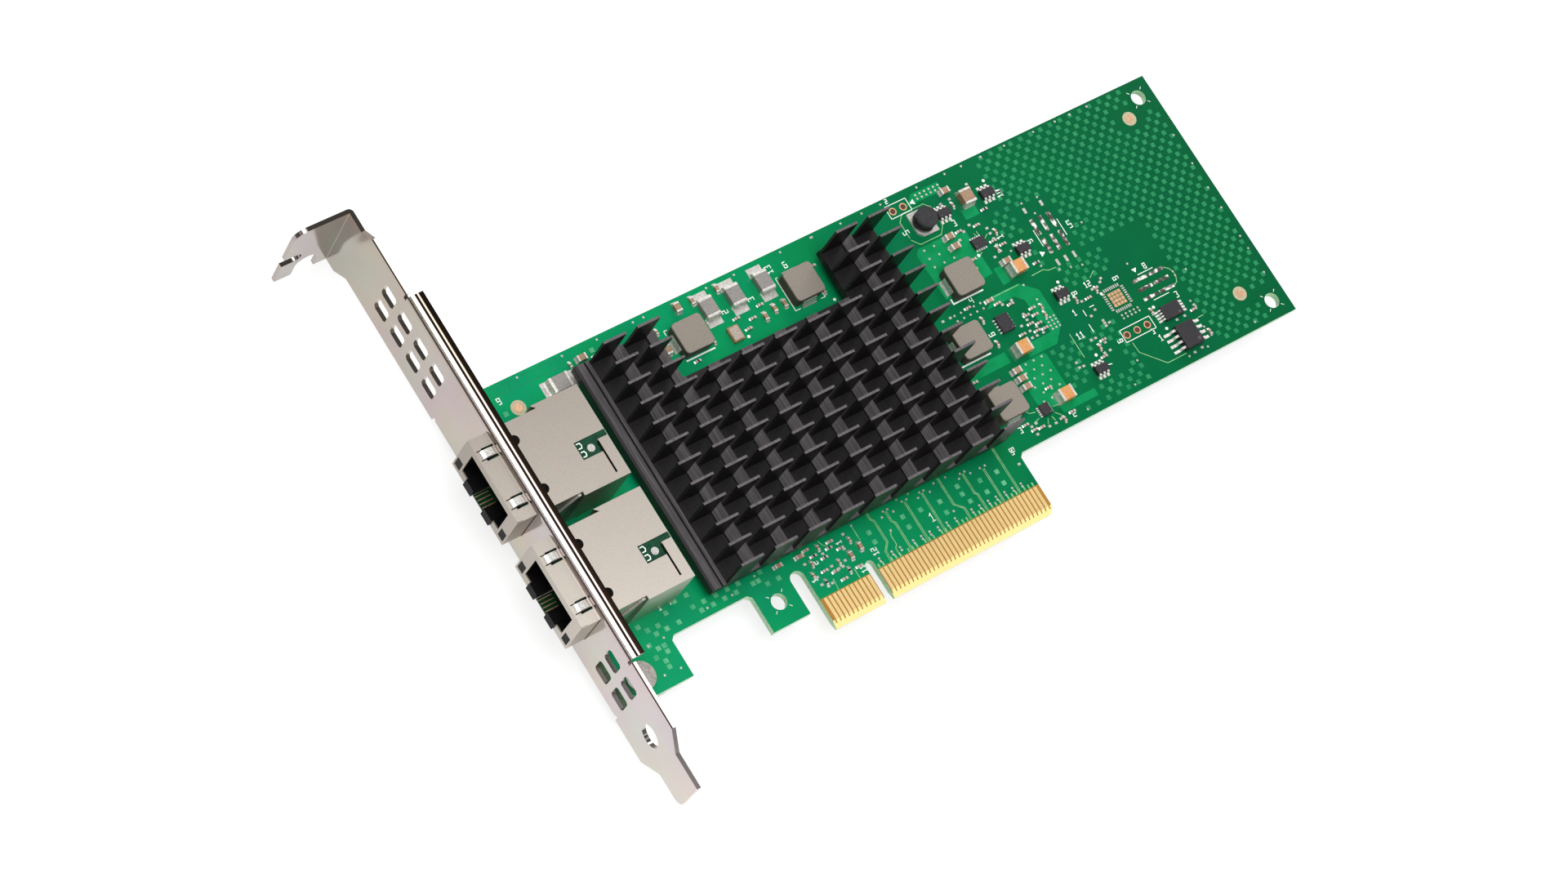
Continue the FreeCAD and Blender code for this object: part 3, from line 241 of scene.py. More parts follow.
def stroke(shape, points, width, bottom, top):
    """a line of even width along points, mitred at its corners"""
    points = [Vector(point) for point in points]
    left, right = [], []
    for index, point in enumerate(points):
        before = (point - points[index - 1]).normalized() if index else None
        after = (points[index + 1] - point).normalized() if index + 1 < len(points) else None
        way = ((before or after) + (after or before)).normalized()
        side = Vector((-way.y, way.x)) * width / 2 / max(0.3, way.dot(after or before))
        left.append(point + side)
        right.append(point - side)
    prism(shape, [(p.x, p.y) for p in right + left[::-1]], bottom, top)


def piece(name, shape, material, stands_for=()):
    """turns a mesh in millimetres into an object that rides on the card"""
    bmesh.ops.recalc_face_normals(shape, faces=shape.faces)
    shape.transform(Matrix.Scale(MM, 4))
    made = bpy.data.objects.new(name, bpy.data.meshes.new(name))
    shape.to_mesh(made.data)
    shape.free()
    bpy.context.scene.collection.objects.link(made)
    made.data.materials.append(material)
    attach(made, "root")
    if stands_for:
        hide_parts(*stands_for)
    return made


def speckled(name, size, dark, light, shine, bump=0.0, deep=0.03, detail=3.0, spread=(0.3, 0.7)):
    """a finish that wanders between two tones; grain size and bump depth are in millimetres"""
    made, tree, shader = finish(name)
    where = node(tree, "ShaderNodeTexCoord")
    grain = grains(tree, where, size, detail)
    colour = node(tree, "ShaderNodeValToRGB", {"stops": list(zip(spread, (dark, light)))}, {0: (grain, 0)})
    node(tree, shader, shine, {"Base Color": (colour, 0)})
    if bump:
        relief = node(tree, "ShaderNodeBump", {"Strength": bump, "Distance": deep * MM},
                      {"Height": (grain, 0)})
        node(tree, shader, {}, {"Normal": (relief, 0)})
    return made


STEP = 0.03
pour_finish = speckled("solder_mask_on_copper", 2.5, "#07854a", "#158f59",
                       {"Roughness": 0.17, "IOR": 1.5, "Specular IOR Level": 0.25})
square_finish = speckled("solder_mask_on_small_copper", 1.9, "#1b7f50", "#32905e",
                         {"Roughness": 0.2, "IOR": 1.5, "Specular IOR Level": 0.3}, detail=2.0,
                         spread=(0.3, 0.72))

pours = bmesh.new()
octagon = [(53.2, 28.4), (60.0, 28.4), (63.2, 31.6), (63.2, 39.4), (60.0, 42.4), (53.2, 42.4), (51.0, 40.4),
    (57.6, 40.4), (59.2, 38.8), (59.2, 34.2), (60.2, 33.2), (60.2, 31.0), (53.2, 31.0)]
for outline in (
    octagon,
    [(44.4, 45.6), (56.4, 46.3), (56.4, 56.0), (51.0, 57.0), (45.2, 57.0), (44.2, 56.0)],
    [(48.9, 18.0), (56.4, 18.0), (56.7, 18.4), (56.7, 27.6), (56.2, 28.1), (48.9, 28.1)],
    [(52.9, 15.9), (61.6, 15.9), (61.6, 17.5), (52.9, 17.5)],
    [(57.0, 43.3), (58.8, 43.3), (58.8, 47.0), (57.0, 47.0)],
    [(57.9, 58.0), (61.3, 58.0), (61.3, 60.0), (57.9, 60.0)],
    [(47.0, 65.4), (57.0, 65.4), (57.0, 67.4), (50.4, 67.4), (49.4, 66.4)],
    [(38.9, 29.2), (49.0, 29.2), (49.0, 31.6), (38.9, 31.6)],
):
    prism(pours, outline, 0, STEP)
piece("copper_pours", pours, pour_finish)

SQUARE = 0.94
PITCH = 1.27
kept_clear = [(56, 66.8, 57, 69), (56, 62.4, 41, 58), (62.4, 67, 41, 50.8), (67, 76.9, 41.2, 55.8),
    (56, 92.6, 24, 42.6), (56, 92, 14, 28.6), (100, 105.2, 59.5, 64.7), (99.1, 104.3, 18.2, 23.4),
    (104, 112, 62, 70), (104, 112, 12, 19.8)]
squares = bmesh.new()
for column in range(-32, 14):
    for line in range(-23, 22):
        x, y = 92.4 + PITCH * column, 41.25 + PITCH * line
        if (column + line) % 2 or not 57 < x < 109.6 or not 13.6 < y < 68:
            continue
        inside = [left < x < right and low < y < high for left, right, low, high in kept_clear]
        open_rows = 58 < x < 73.5 and 13.6 < y < 28 and not (62 < x < 72 and 17.5 < y < 24)
        gap = 69 < x < 80 and 37 < y < 41.5 or 92 < x and 24 < y
        if x < 62.4 and 15 < y < 18.4 or any(inside) and not (open_rows or gap and not any(inside[6:])):
            continue
        block(squares, x - SQUARE / 2, x + SQUARE / 2, y - SQUARE / 2, y + SQUARE / 2, 0, STEP)
SLOT_END = [(-46.6, 17.1), (-45.3, 15.8), (-44.1, 14.5), (-46.6, 13.2), (-45.3, 12.0), (-46.6, 10.7),
    (-45.3, 9.4), (-44.0, 10.8), (-44.0, 12.0), (-45.3, 8.2), (-43.0, 15.7), (-41.8, 14.5), (-40.4, 17.1),
    (-39.1, 14.5), (-37.8, 18.3), (-35.1, 18.3), (-35.2, 15.8), (-34.0, 14.5), (-32.7, 15.8), (-31.4, 14.5),
    (-30.1, 15.8), (-28.8, 14.5), (-27.5, 15.8), (-26.2, 14.5), (-25.0, 15.8), (-22.4, 14.5), (-21.2, 14.5),
    (-19.9, 13.2), (-17.4, 13.2), (-20.0, 15.8), (-46.7, 62.8), (-25.2, 66.7)]
TONGUE = [(3.4, 12.9), (3.4, 10.9), (11.2, 12.6), (11.2, 10.4), (15.2, 12.2), (19.6, 11.9), (19.6, 9.5),
    (24.5, 12.9), (24.5, 11.2), (25.2, 9.3), (29.3, 11.9), (29.3, 9.4), (33.4, 11.9), (33.4, 9.4)]
piece("copper_squares", squares, square_finish)
loose_finish = speckled("solder_mask_on_loose_copper", 1.9, "#3fa374", "#6bbd8c",
                        {"Roughness": 0.2, "IOR": 1.5, "Specular IOR Level": 0.3}, detail=2.0,
                        spread=(0.3, 0.72))
LOOSE = 0.92
loose_squares = bmesh.new()
for x, y in SLOT_END + TONGUE:
    block(loose_squares, x - LOOSE / 2, x + LOOSE / 2, y - LOOSE / 2, y + LOOSE / 2, 0, STEP)
piece("loose_squares", loose_squares, loose_finish)

trace_finish = speckled("solder_mask_on_traces", 1.2, "#6fae78", "#9ccb92",
                        {"Roughness": 0.3, "IOR": 1.5, "Specular IOR Level": 0.3}, detail=2.0,
                        spread=(0.3, 0.72))
traces = bmesh.new()
PAIRS = [[(4.2, 6.2), (4.3, 8.4), (5.6, 9.8), (5.6, 14.4), (5.1, 15.0), (5.1, 16.6)],
    [(9.2, 6.2), (9.2, 12.2), (8.7, 12.9), (8.7, 15.0)], [(13.2, 6.2), (13.2, 15.0)],
    [(17.3, 6.2), (17.3, 15.0)], [(23.3, 6.2), (23.3, 8.7), (21.8, 10.2), (21.8, 16.0)],
    [(27.3, 6.2), (27.3, 9.9), (26.9, 10.2), (26.9, 14.6)], [(31.3, 6.2), (31.3, 13.6)],
    [(35.3, 6.2), (35.3, 16.4)]]
for path in PAIRS:
    for shift in (-0.16, 0.16):
        stroke(traces, [(x + shift, y) for x, y in path], 0.13, 0, STEP + 0.01)
for path in (
    [(63.5, 42.5), (66.4, 42.6), (67.4, 42.0), (69.2, 41.9)],
    [(74.5, 21.9), (74.6, 19.6), (78.8, 15.2), (83.6, 15.2)],
    [(90.0, 32.4), (91.0, 31.6), (91.4, 30.6), (91.4, 29.8), (90.8, 28.6), (89.9, 28.2)],
    [(63.5, 29.0), (63.5, 23.6)], [(90.4, 20.4), (91.8, 20.4)], [(53.0, 42.1), (59.9, 42.1)],
    [(1.0, 15.6), (1.0, 12.4)], [(7.5, 11.4), (7.0, 10.6), (7.0, 8.6), (6.4, 8.0), (6.4, 6.2)],
    [(-6.6, 15.9), (-6.2, 14.9), (-5.6, 14.3)], [(-8.2, 6.2), (-8.0, 8.4)], [(-3.2, 8.3), (-3.2, 6.2)],
    [(57.6, 55.0), (57.9, 54.2)], [(58.4, 55.2), (58.4, 54.2)], [(58.9, 53.0), (60.2, 53.8)],
    [(55.6, 50.2), (56.9, 51.0)], [(76.0, 38.0), (74.4, 37.0)],
    [(45.0, 59.2), (46.3, 57.6), (51.4, 57.6), (52.8, 59.2), (52.8, 63.4), (51.6, 64.6), (46.4, 64.6),
     (45.0, 63.2),
     (45.0, 59.6)],
    [(47.6, 18.6), (46.4, 18.8), (45.4, 20.0)], [(47.6, 17.2), (46.0, 16.8)], [(49.2, 16.4), (48.6, 15.4)],
    [(50.2, 16.4), (50.4, 15.4)], [(51.2, 16.8), (52.2, 15.8)], [(51.6, 18.0), (53.0, 17.8)],
):
    stroke(traces, path, 0.16, 0, STEP + 0.01)
for index in range(38):
    if index % 4 != 2:
        x = 1.5 + index
        stroke(traces, [(x, 6.2), (x, 7.0)], 0.34, 0, STEP)
piece("traces", traces, trace_finish)


# ---- Bare plated copper
# Openings in the mask leave pads tinned and vias and targets plated: silver plates without a
# part on them, small silver vias, and copper targets that a placing machine sights on.
tinned = speckled("tinned_pads", 0.35, "#b9b6b1", "#f0eeea", {"Metallic": 0.6, "Roughness": 0.3}, 0.5,
                  deep=0.05, spread=(0.25, 0.75))
copper = speckled("preserved_copper", 0.5, "#cb9873", "#e6bd98", {"Metallic": 0.7, "Roughness": 0.45})
ring_finish = speckled("bare_laminate_ring", 0.4, "#a9a283", "#c3b795", {"Roughness": 0.5, "IOR": 1.5},
                       detail=2.0)

PLATED = STEP + 0.03
SOLDERED = STEP + 0.05
targets = bmesh.new()
rings = bmesh.new()
for x, y in ((102.6, 62.1), (101.7, 20.8), (-43.9, 62.9)):
    disc(rings, x, y, 1.5, 0, STEP, 32)
    disc(targets, x, y, 0.75, STEP, PLATED, 24)
piece("target_rings", rings, ring_finish)
piece("targets", targets, copper)

vias = bmesh.new()
VIAS = [(x, 68.1) for x in (-41.0, -31.0, -23.2, -15.0, 19.3, 26.6, 26.9, 33.8, 38.9, 43.5, 52.4, 59.4,
    63.5, 68.4, 74.4, 81.8, 87.4, 91.2, 95.6)]
VIAS += [(109.3, y) for y in (22.4, 28.1, 31.0, 37.8, 42.6, 48.4, 55.2)]
VIAS += [(x, 14.4) for x in (57.8, 69.8, 83.8, 88.6, 101.0)]
VIAS += [(50.5 + 2 * column + line % 2, 19.6 + 1.6 * line) for column in range(3) for line in range(6)]
VIAS += [(46.2 + 2.4 * column, 52.4 + 1.9 * line) for column in range(3) for line in range(3)]
VIAS += [(61.0 + 0.9 * column, 31.4 + 0.75 * line) for column in range(3) for line in range(4)]
VIAS += [(44.0 + 1.6 * column, 42.2 - 1.2 * line) for column in range(5) for line in range(2)]
VIAS += [(51.2 + 1.1 * column, 66.0 + 0.8 * line) for column in range(6) for line in range(2)]
VIAS += [(75.9 + column, 26.9 + 0.7 * line) for column in range(5) for line in range(2)]
VIAS += [(x, y) for x in (2.3, 5.3, 7.3, 10.4, 12.3, 14.3, 16.3, 18.4, 20.4, 24.4, 26.3, 28.4, 30.3, 32.4,
    34.3, 36.4) for y in (7.2, 7.8)]
VIAS += [(8.2, 15.2), (9.3, 15.2), (7.4, 14.3), (10.1, 14.3), (12.7, 15.2), (13.8, 15.2), (16.9, 15.2),
    (17.9, 15.2), (16.1, 14.4), (18.9, 14.4), (11.9, 16.0), (14.7, 16.0), (20.5, 15.5), (23.3, 15.5),
    (26.4, 14.8), (27.5, 14.8), (25.7, 14.0), (28.4, 14.0), (30.7, 14.0), (31.9, 14.0), (7.5, 11.4),
    (1.0, 15.6), (21.0, 9.1), (83.4, 36.2), (94.2, 30.0), (91.3, 30.8), (91.3, 29.9), (66.5, 43.4),
    (69.6, 41.2), (62.6, 48.7), (60.8, 41.6), (61.6, 37.9), (-47.0, 7.2), (-43.5, 7.0), (-46.8, 13.2),
    (-43.3, 13.3), (-32.8, 14.4), (-27.2, 14.4), (-21.4, 15.6), (90.4, 18.2), (91.2, 16.4), (91.4, 22.6),
    (91.0, 24.0), (73.2, 18.4), (70.5, 56.2), (74.3, 56.0), (71.9, 53.3), (72.1, 40.6), (74.6, 40.0),
    (79.8, 47.6), (-12.6, 68.1), (1.8, 68.0), (8.3, 68.0)]
for x, y in VIAS:
    disc(vias, x, y, 0.23, 0, PLATED, 10)
piece("vias", vias, tinned)

# the solder on the long pads is painted in dark and bright patches: painted reflections and glints
solder, tree, shader = finish("solder_in_long_pads")
where = node(tree, "ShaderNodeTexCoord")
grain = grains(tree, where, 1.1, 1.0)
colour = node(tree, "ShaderNodeValToRGB", {"stops": [(0.42, "#4c4a45"), (0.52, "#8d8a84"),
                                                     (0.62, "#fdfcfa")]}, {0: (grain, 0)})
node(tree, shader, {"Metallic": 0.3, "Roughness": 0.3}, {"Base Color": (colour, 0)})
long_pads = bmesh.new()
pads = bmesh.new()
for x in (70.2, 72.3, 74.4):
    for low, high in ((49.0, 52.5), (44.7, 48.2)):
        block(long_pads, x - 0.42, x + 0.42, low, high, 0, SOLDERED)
    for low, high in ((54.0, 55.2), (41.9, 43.3)):
        if x != 72.3 or low < 50:
            block(pads, x - 0.3, x + 0.3, low, high, 0, PLATED)
for y in (32.4, 30.35, 28.3):
    for left, right in ((82.1, 85.7), (86.1, 89.9)):
        block(long_pads, left, right, y - 0.36, y + 0.36, 0, SOLDERED)
piece("long_pads", long_pads, solder)
for step in range(8):
    for side in (-1, 1):
        x, y = 77.15 + side * 2.35, 29.3 + 0.5 * step
        block(pads, x - 0.32, x + 0.32, y - 0.14, y + 0.14, 0, PLATED)
        x, y = 75.4 + 0.5 * step, 31.05 + side * 2.35
        block(pads, x - 0.14, x + 0.14, y - 0.32, y + 0.32, 0, PLATED)
PADS = [(66.9, 26.0), (68.0, 26.0), (67.9, 24.4), (69.3, 24.4), (67.9, 22.6), (69.3, 22.6), (69.9, 33.6),
    (69.9, 30.2), (71.4, 31.0), (73.4, 34.8), (74.6, 34.8), (75.8, 35.4), (76.4, 36.0), (71.6, 28.4),
    (71.6, 27.8), (71.6, 27.2), (72.6, 27.5), (61.3, 22.3), (61.3, 23.4), (62.3, 22.2), (56.6, 40.0),
    (54.4, 40.0), (57.2, 36.5), (57.2, 35.2), (56.0, 31.6), (57.2, 31.6), (58.8, 31.6), (56.4, 33.0),
    (58.2, 33.2), (55.4, 34.6), (41.2, 42.2), (43.0, 42.2), (45.2, 16.4), (46.4, 16.6), (45.4, 14.6),
    (48.6, 14.9), (50.2, 14.9), (51.6, 15.2), (38.4, 11.2), (54.2, 55.0), (56.0, 56.2), (57.8, 56.9),
    (60.8, 54.8), (60.8, 53.6), (60.8, 52.4), (58.8, 49.0), (60.6, 49.6), (60.6, 51.0), (62.3, 64.4),
    (62.3, 63.4), (57.2, 63.2), (54.9, 63.0), (-6.9, 9.6), (-6.9, 10.6), (-5.9, 9.6), (-4.9, 9.6),
    (-3.9, 10.4), (-8.1, 10.4), (-7.1, 13.4), (-2.8, 12.4), (-1.4, 14.9), (-8.6, 7.8), (-9.6, 7.6),
    (-10.6, 8.4), (-10.6, 10.0), (-11.4, 13.2), (91.2, 23.0), (88.0, 21.9), (86.0, 21.9), (85.4, 14.6),
    (87.4, 14.8)]
for x, y in PADS:
    block(pads, x - 0.3, x + 0.3, y - 0.24, y + 0.24, 0, PLATED)
piece("pads", pads, tinned)

gold_pad = bmesh.new()
for column in range(4):
    for line in range(4):
        x, y = 75.62 + 0.8 * column, 29.52 + 0.8 * line
        block(gold_pad, x, x + 0.66, y, y + 0.66, 0, PLATED)
piece("spare_chip_pad", gold_pad, copper)

# each plated hole is a copper rim round a thin dark disc laid on top: painted shade where the hole goes
# down
hole_rims = bmesh.new()
hole_shade_discs = bmesh.new()
for x, y in ((45.0, 65.8), (47.5, 65.8), (74.4, 23.7), (77.0, 23.7), (79.6, 23.7)):
    disc(hole_rims, x, y, 0.78, 0, PLATED, 24)
    disc(hole_shade_discs, x, y, 0.55, PLATED, PLATED + 0.01, 20)
piece("hole_rims", hole_rims, copper)
dark_hole = speckled("plated_hole_in_shade", 0.3, "#3b1c12", "#5c2c1c", {"Roughness": 0.6}, detail=2.0)
piece("hole_shade_discs", hole_shade_discs, dark_hole)


# ---- Printed legend
# White epoxy ink screened on the mask: outlines of parts, pin-one marks and plain numbers.
ink = speckled("white_epoxy_ink", 0.25, "#cfe6d8", "#f4f9f5", {"Roughness": 0.6, "IOR": 1.5}, detail=2.0,
               spread=(0.25, 0.6))
INK = 0.05
DIGITS = {
    "0": ["0020242400", "0400"], "1": ["031410", "0020"], "2": ["042422020020"], "3": ["04242000", "1222"],
    "4": ["040222", "2420"], "5": ["240402222000"], "6": ["240400202202"], "7": ["042410"],
    "8": ["0020240400", "0222"], "9": ["220204242000"],
}
legend = bmesh.new()


def number(text, x, y, high=1.5, turned=False):
    """plain figures, drawn as strokes; turned ones read up the board"""
    unit = high / 4
    for place, figure in enumerate(text):
        for line in DIGITS[figure]:
            points = [(int(line[i]) + place * 3.1, int(line[i + 1])) for i in range(0, len(line), 2)]
            points = [(-q, p) if turned else (p, q) for p, q in points]
            stroke(legend, [(x + p * unit, y + q * unit) for p, q in points], 0.17, 0, INK)


LEVEL = [("9", -46.9, 64.9, 1.2), ("2", 44.7, 67.7, 0.9), ("3", 54.9, 57.9, 1.2), ("5", 76.8, 47.6, 1.5),
    ("4", 48.7, 42.8, 1.2), ("12", 72.4, 35.6, 1.1), ("8", 86.2, 33.8, 1.1), ("1", 66.8, 31.7, 1.1),
    ("11", 64.6, 27.2, 1.2), ("3", 88.8, 25.8, 1.2), ("3", 79.6, 21.5, 1.0), ("1", 80.3, 19.6, 1.2),
    ("3", 42.4, 16.2, 1.1), ("2", 54.4, 14.3, 1.2), ("1", 16.0, 9.2, 1.6), ("6", 18.4, 64.9, 1.2),
    ("1", -41.2, 18.0, 1.1), ("7", -38.9, 18.0, 1.1)]
TURNED = [("5", 45.6, 60.6, 1.3), ("10", 68.0, 59.2, 1.1), ("1", 62.9, 51.8, 1.4), ("9", 68.0, 48.4, 1.2),
    ("6", 49.4, 35.4, 1.2), ("8", 70.0, 35.4, 1.1), ("9", 79.9, 34.4, 1.2), ("6", 72.9, 23.0, 1.1),
    ("7", 68.0, 19.8, 1.0), ("49", 39.2, 13.3, 1.0), ("12", 2.9, 8.6, 1.1), ("11", -1.1, 6.8, 1.0),
    ("1", -10.8, 9.4, 1.1), ("2", -8.9, 12.2, 1.1), ("1", -2.5, 13.6, 1.1), ("13", 15.8, 65.2, 1.2),
    ("3", 9.2, 62.0, 1.2), ("2", 3.1, 62.0, 1.2), ("1", 5.3, 57.2, 1.2)]
for row in LEVEL:
    number(*row)
for row in TURNED:
    number(*row, turned=True)
for left, right, low, high in ((43.9, 48.9, 64.5, 67.2), (73.4, 81.0, 22.4, 25.1)):
    for y in (low, high):
        stroke(legend, [(left, y), (right, y)], 0.16, 0, INK)
    for x in (left, right):
        stroke(legend, [(x, low + 0.08), (x, high - 0.08)], 0.16, 0, INK)
for points in (
    [(69.4, 46.7), (69.4, 50.4)], [(75.4, 46.7), (75.4, 50.4)], [(84.0, 33.3), (87.9, 33.3)],
    [(84.0, 27.4), (87.9, 27.4)],
    [(15.4, 63.9), (15.4, 56.6), (16.6, 56.6)], [(21.4, 56.6), (22.4, 56.6), (22.4, 57.6)],
    [(15.4, 63.9), (15.9, 63.9)],
    [(-10.6, 64.0), (-10.6, 63.0)], [(-10.6, 64.0), (-9.9, 64.0)],
    [(69.0, 32.0), (69.0, 30.6)], [(70.6, 31.9), (71.8, 31.9)], [(68.4, 27.2), (68.4, 29.0)],
):
    stroke(legend, points, 0.16, 0, INK)
for points in ([(45.3, 45.4), (45.3, 44.3), (52.6, 44.3)], [(39.2, 32.6), (46.4, 32.6)],
               [(-9.8, 57.0), (-3.2, 57.0)],
               [(38.8, 26.2), (38.8, 18.6)]):
    stroke(legend, points, 0.32, 0, INK)
for points in (
    [(49.1, 65.8), (50.2, 65.2), (50.2, 66.4)], [(69.0, 45.5), (67.9, 46.1), (67.9, 44.9)],
    [(84.0, 33.9), (84.6, 34.8), (83.4, 34.8)],
):
    prism(legend, points, 0, INK)
for x, y in ((66.0, 63.6), (83.0, 26.2), (67.7, 39.1), (66.0, 23.0), (4.0, 56.1), (82.9, 21.3),
             (74.6, 33.2), (55.9, 50.7),
             (23.8, 55.3)):
    disc(legend, x, y, 0.33, 0, INK, 12)
for hole_x, hole_y in ((107.2, 65.2), (107.2, 16.65), (-19.825, 9.35)):
    for turn in (45, 135, 225, 315):
        way = Vector((math.cos(math.radians(turn)), math.sin(math.radians(turn))))
        stroke(legend, [(hole_x + way.x * r, hole_y + way.y * r) for r in (1.95, 2.6)], 0.12, 0, INK)
piece("legend", legend, ink)

row_marks = bmesh.new()
for x in (-47.2, -46.2, -45.3, -44.1, -43.2, -41.3, -39.4, -37.5, -36.0, -34.0, -32.0):
    stroke(row_marks, [(x, 66.5), (x, 68.2)], 0.1, 0, STEP)
for y in (66.5, 68.2):
    stroke(row_marks, [(-47.2, y), (-32.0, y)], 0.1, 0, STEP + 0.005)
piece("date_grid", row_marks, square_finish)


# ---- Edge contacts
# Copper fingers with hard gold over nickel, which wears but doesn't tarnish: a warm bright
# yellow with fine draw marks along each finger, drawn softer than the near-mirror of real gold.
hard_gold, tree, shader = finish("hard_gold_plating")
where = node(tree, "ShaderNodeTexCoord")
stretch = node(tree, "ShaderNodeMapping", {"Scale": (1 / (0.12 * MM), 1 / (1.5 * MM), 1)},
               {0: (where, "Object")})
marks = node(tree, "ShaderNodeTexNoise", {"Scale": 1.0, "Detail": 2.0}, {"Vector": (stretch, 0)})
colour = node(tree, "ShaderNodeValToRGB", {"stops": [(0.2, "#f8cd84"), (0.8, "#ffebb2")]}, {0: (marks, 0)})
relief = node(tree, "ShaderNodeBump", {"Strength": 0.15, "Distance": 0.01 * MM}, {"Height": (marks, 0)})
node(tree, shader, {"Metallic": 0.8, "Roughness": 0.36}, {"Base Color": (colour, 0), "Normal": (relief, 0)})
dress("edge_contacts_front", hard_gold)
dress("edge_contacts_back", hard_gold)


# ---- Mounting bracket and its screws
# Sheet steel, blanked and folded, then nickel plated: a soft warm grey. The dark and bright
# lines along the front flange are painted reflections in its colour, so unlike real reflections
# they stay put from every side; the grey also deepens towards the top.
nickel, tree, shader = finish("nickel_plated_steel")
where = node(tree, "ShaderNodeTexCoord")
along = node(tree, "ShaderNodeSeparateXYZ", links={0: (where, "Object")})
cloud = grains(tree, where, 14, 3.0)
reach = node(tree, "ShaderNodeMapRange", {"From Min": -0.015, "From Max": 0.107}, {0: (along, "Y")})
tone = node(tree, "ShaderNodeValToRGB", {"stops": [
    (0.0, "#d0c7c2"), (0.30, "#c4bbb4"), (0.62, "#b9b0a8"), (1.0, "#aaa198"),
]}, {0: (reach, 0)})
colour = node(tree, "ShaderNodeMix", {"data_type": "RGBA", "blend_type": "OVERLAY", 0: 0.2},
              {6: (tone, 0), 7: (cloud, "Color")})
gloss = node(tree, "ShaderNodeMapRange", {"To Min": 0.12, "To Max": 0.17}, {0: (cloud, 0)})
offset = node(tree, "ShaderNodeMath", {"operation": "ADD", 1: 56.25 * MM}, {0: (along, "X")})
square = node(tree, "ShaderNodeMath", {"operation": "POWER", 1: 2.0}, {0: (offset, 0)})
crown = node(tree, "ShaderNodeMath", {"operation": "MULTIPLY", 1: -0.02 / MM}, {0: (square, 0)})
lean = node(tree, "ShaderNodeMath", {"operation": "MULTIPLY_ADD", 1: 0.176},
            {0: (offset, 0), 2: (crown, 0)})
relief = node(tree, "ShaderNodeBump", {"Strength": 1.0, "Distance": 1.0}, {"Height": (lean, 0)})
facing = node(tree, "ShaderNodeSeparateXYZ", links={0: (where, "Normal")})
upward = passes(tree, facing, "Z", 0.9)
rim = passes(tree, along, "Z", 13.8 * MM)
hem = both(tree, upward, rim)
node(tree, relief, {}, {"Strength": (hem, 0)})
across = node(tree, "ShaderNodeMapRange", {"From Min": -57.9 * MM, "From Max": -54.6 * MM},
              {0: (along, "X")})
# painted reflections: the dark and bright bands across the front flange, multiplied into the grey
painted_reflection_bands = node(tree, "ShaderNodeValToRGB", {"stops": [
    (0.0, "#2a231e"), (0.08, "#2a231e"), (0.14, "#ffffff"), (0.40, "#ffffff"), (0.46, "#16110d"),
    (0.58, "#16110d"),
    (0.62, "#e0dbd6"), (0.67, "#e0dbd6"), (0.72, "#1d1712"), (1.0, "#2a231d"),
]}, {0: (across, 0)})
colour = node(tree, "ShaderNodeMix", {"data_type": "RGBA", "blend_type": "MULTIPLY"},
              {0: (hem, 0), 6: (colour, 2), 7: (painted_reflection_bands, 0)})
node(tree, shader, {"Metallic": 1.0},
     {"Base Color": (colour, 2), "Normal": (relief, 0), "Roughness": (gloss, 0)})
dress("mounting_bracket", nickel)

zinc = speckled("zinc_plated_screw", 0.4, "#a8a39c", "#d2cdc5", {"Metallic": 1.0, "Roughness": 0.3})
dress("bracket_screws", zinc)
dress("heat_sink_screws", zinc)
dress("heat_sink_spacers", zinc)


# ---- Jacks
# Each jack is a tin-plated steel can, folded round a black glass-filled nylon housing that
# holds eight gold springs, two light pipes and a small board. The tin's tone deepens upwards
# over the board; the matt plastic shows almost no reflection.
tin, tree, shader = finish("tin_plated_steel")
where = node(tree, "ShaderNodeTexCoord")
along = node(tree, "ShaderNodeSeparateXYZ", links={0: (where, "Object")})
reach = node(tree, "ShaderNodeMapRange", {"From Min": 0.018, "From Max": 0.06}, {0: (along, "Y")})
tone = node(tree, "ShaderNodeValToRGB", {"stops": [(0.0, "#c6beb5"), (0.5, "#b3aba2"), (1.0, "#a29a91")]},
            {0: (reach, 0)})
grain = grains(tree, where, 0.22, 4.0)
colour = node(tree, "ShaderNodeMix", {"data_type": "RGBA", "blend_type": "OVERLAY", 0: 0.3},
              {6: (tone, 0), 7: (grain, "Color")})
relief = node(tree, "ShaderNodeBump", {"Strength": 0.35, "Distance": 0.02 * MM}, {"Height": (grain, 0)})
node(tree, shader, {"Metallic": 1.0, "Roughness": 0.42}, {"Base Color": (colour, 2), "Normal": (relief, 0)})
nylon = speckled("moulded_black_nylon", 0.3, "#0c0c0d", "#161617",
                 {"Roughness": 0.42, "IOR": 1.53, "Specular IOR Level": 0.06}, 0.2, deep=0.02)
smoked = speckled("unlit_light_pipe", 1.2, "#0f0d0c", "#1c1917",
                  {"Roughness": 0.4, "IOR": 1.58, "Specular IOR Level": 0.06}, detail=2.0)
inner_green = speckled("dark_green_laminate", 0.8, "#03301f", "#084a2f",
                       {"Roughness": 0.3, "IOR": 1.5, "Specular IOR Level": 0.3}, detail=2.0)
for place in ("lower", "upper"):
    dress("jack_shield_" + place, tin)
    dress("jack_housing_" + place, nylon)
    dress("jack_light_pipes_" + place, smoked)
    dress("jack_inner_board_" + place, inner_green)
    dress("jack_contacts_" + place, hard_gold)
    dress("jack_magnetics_" + place, nylon)


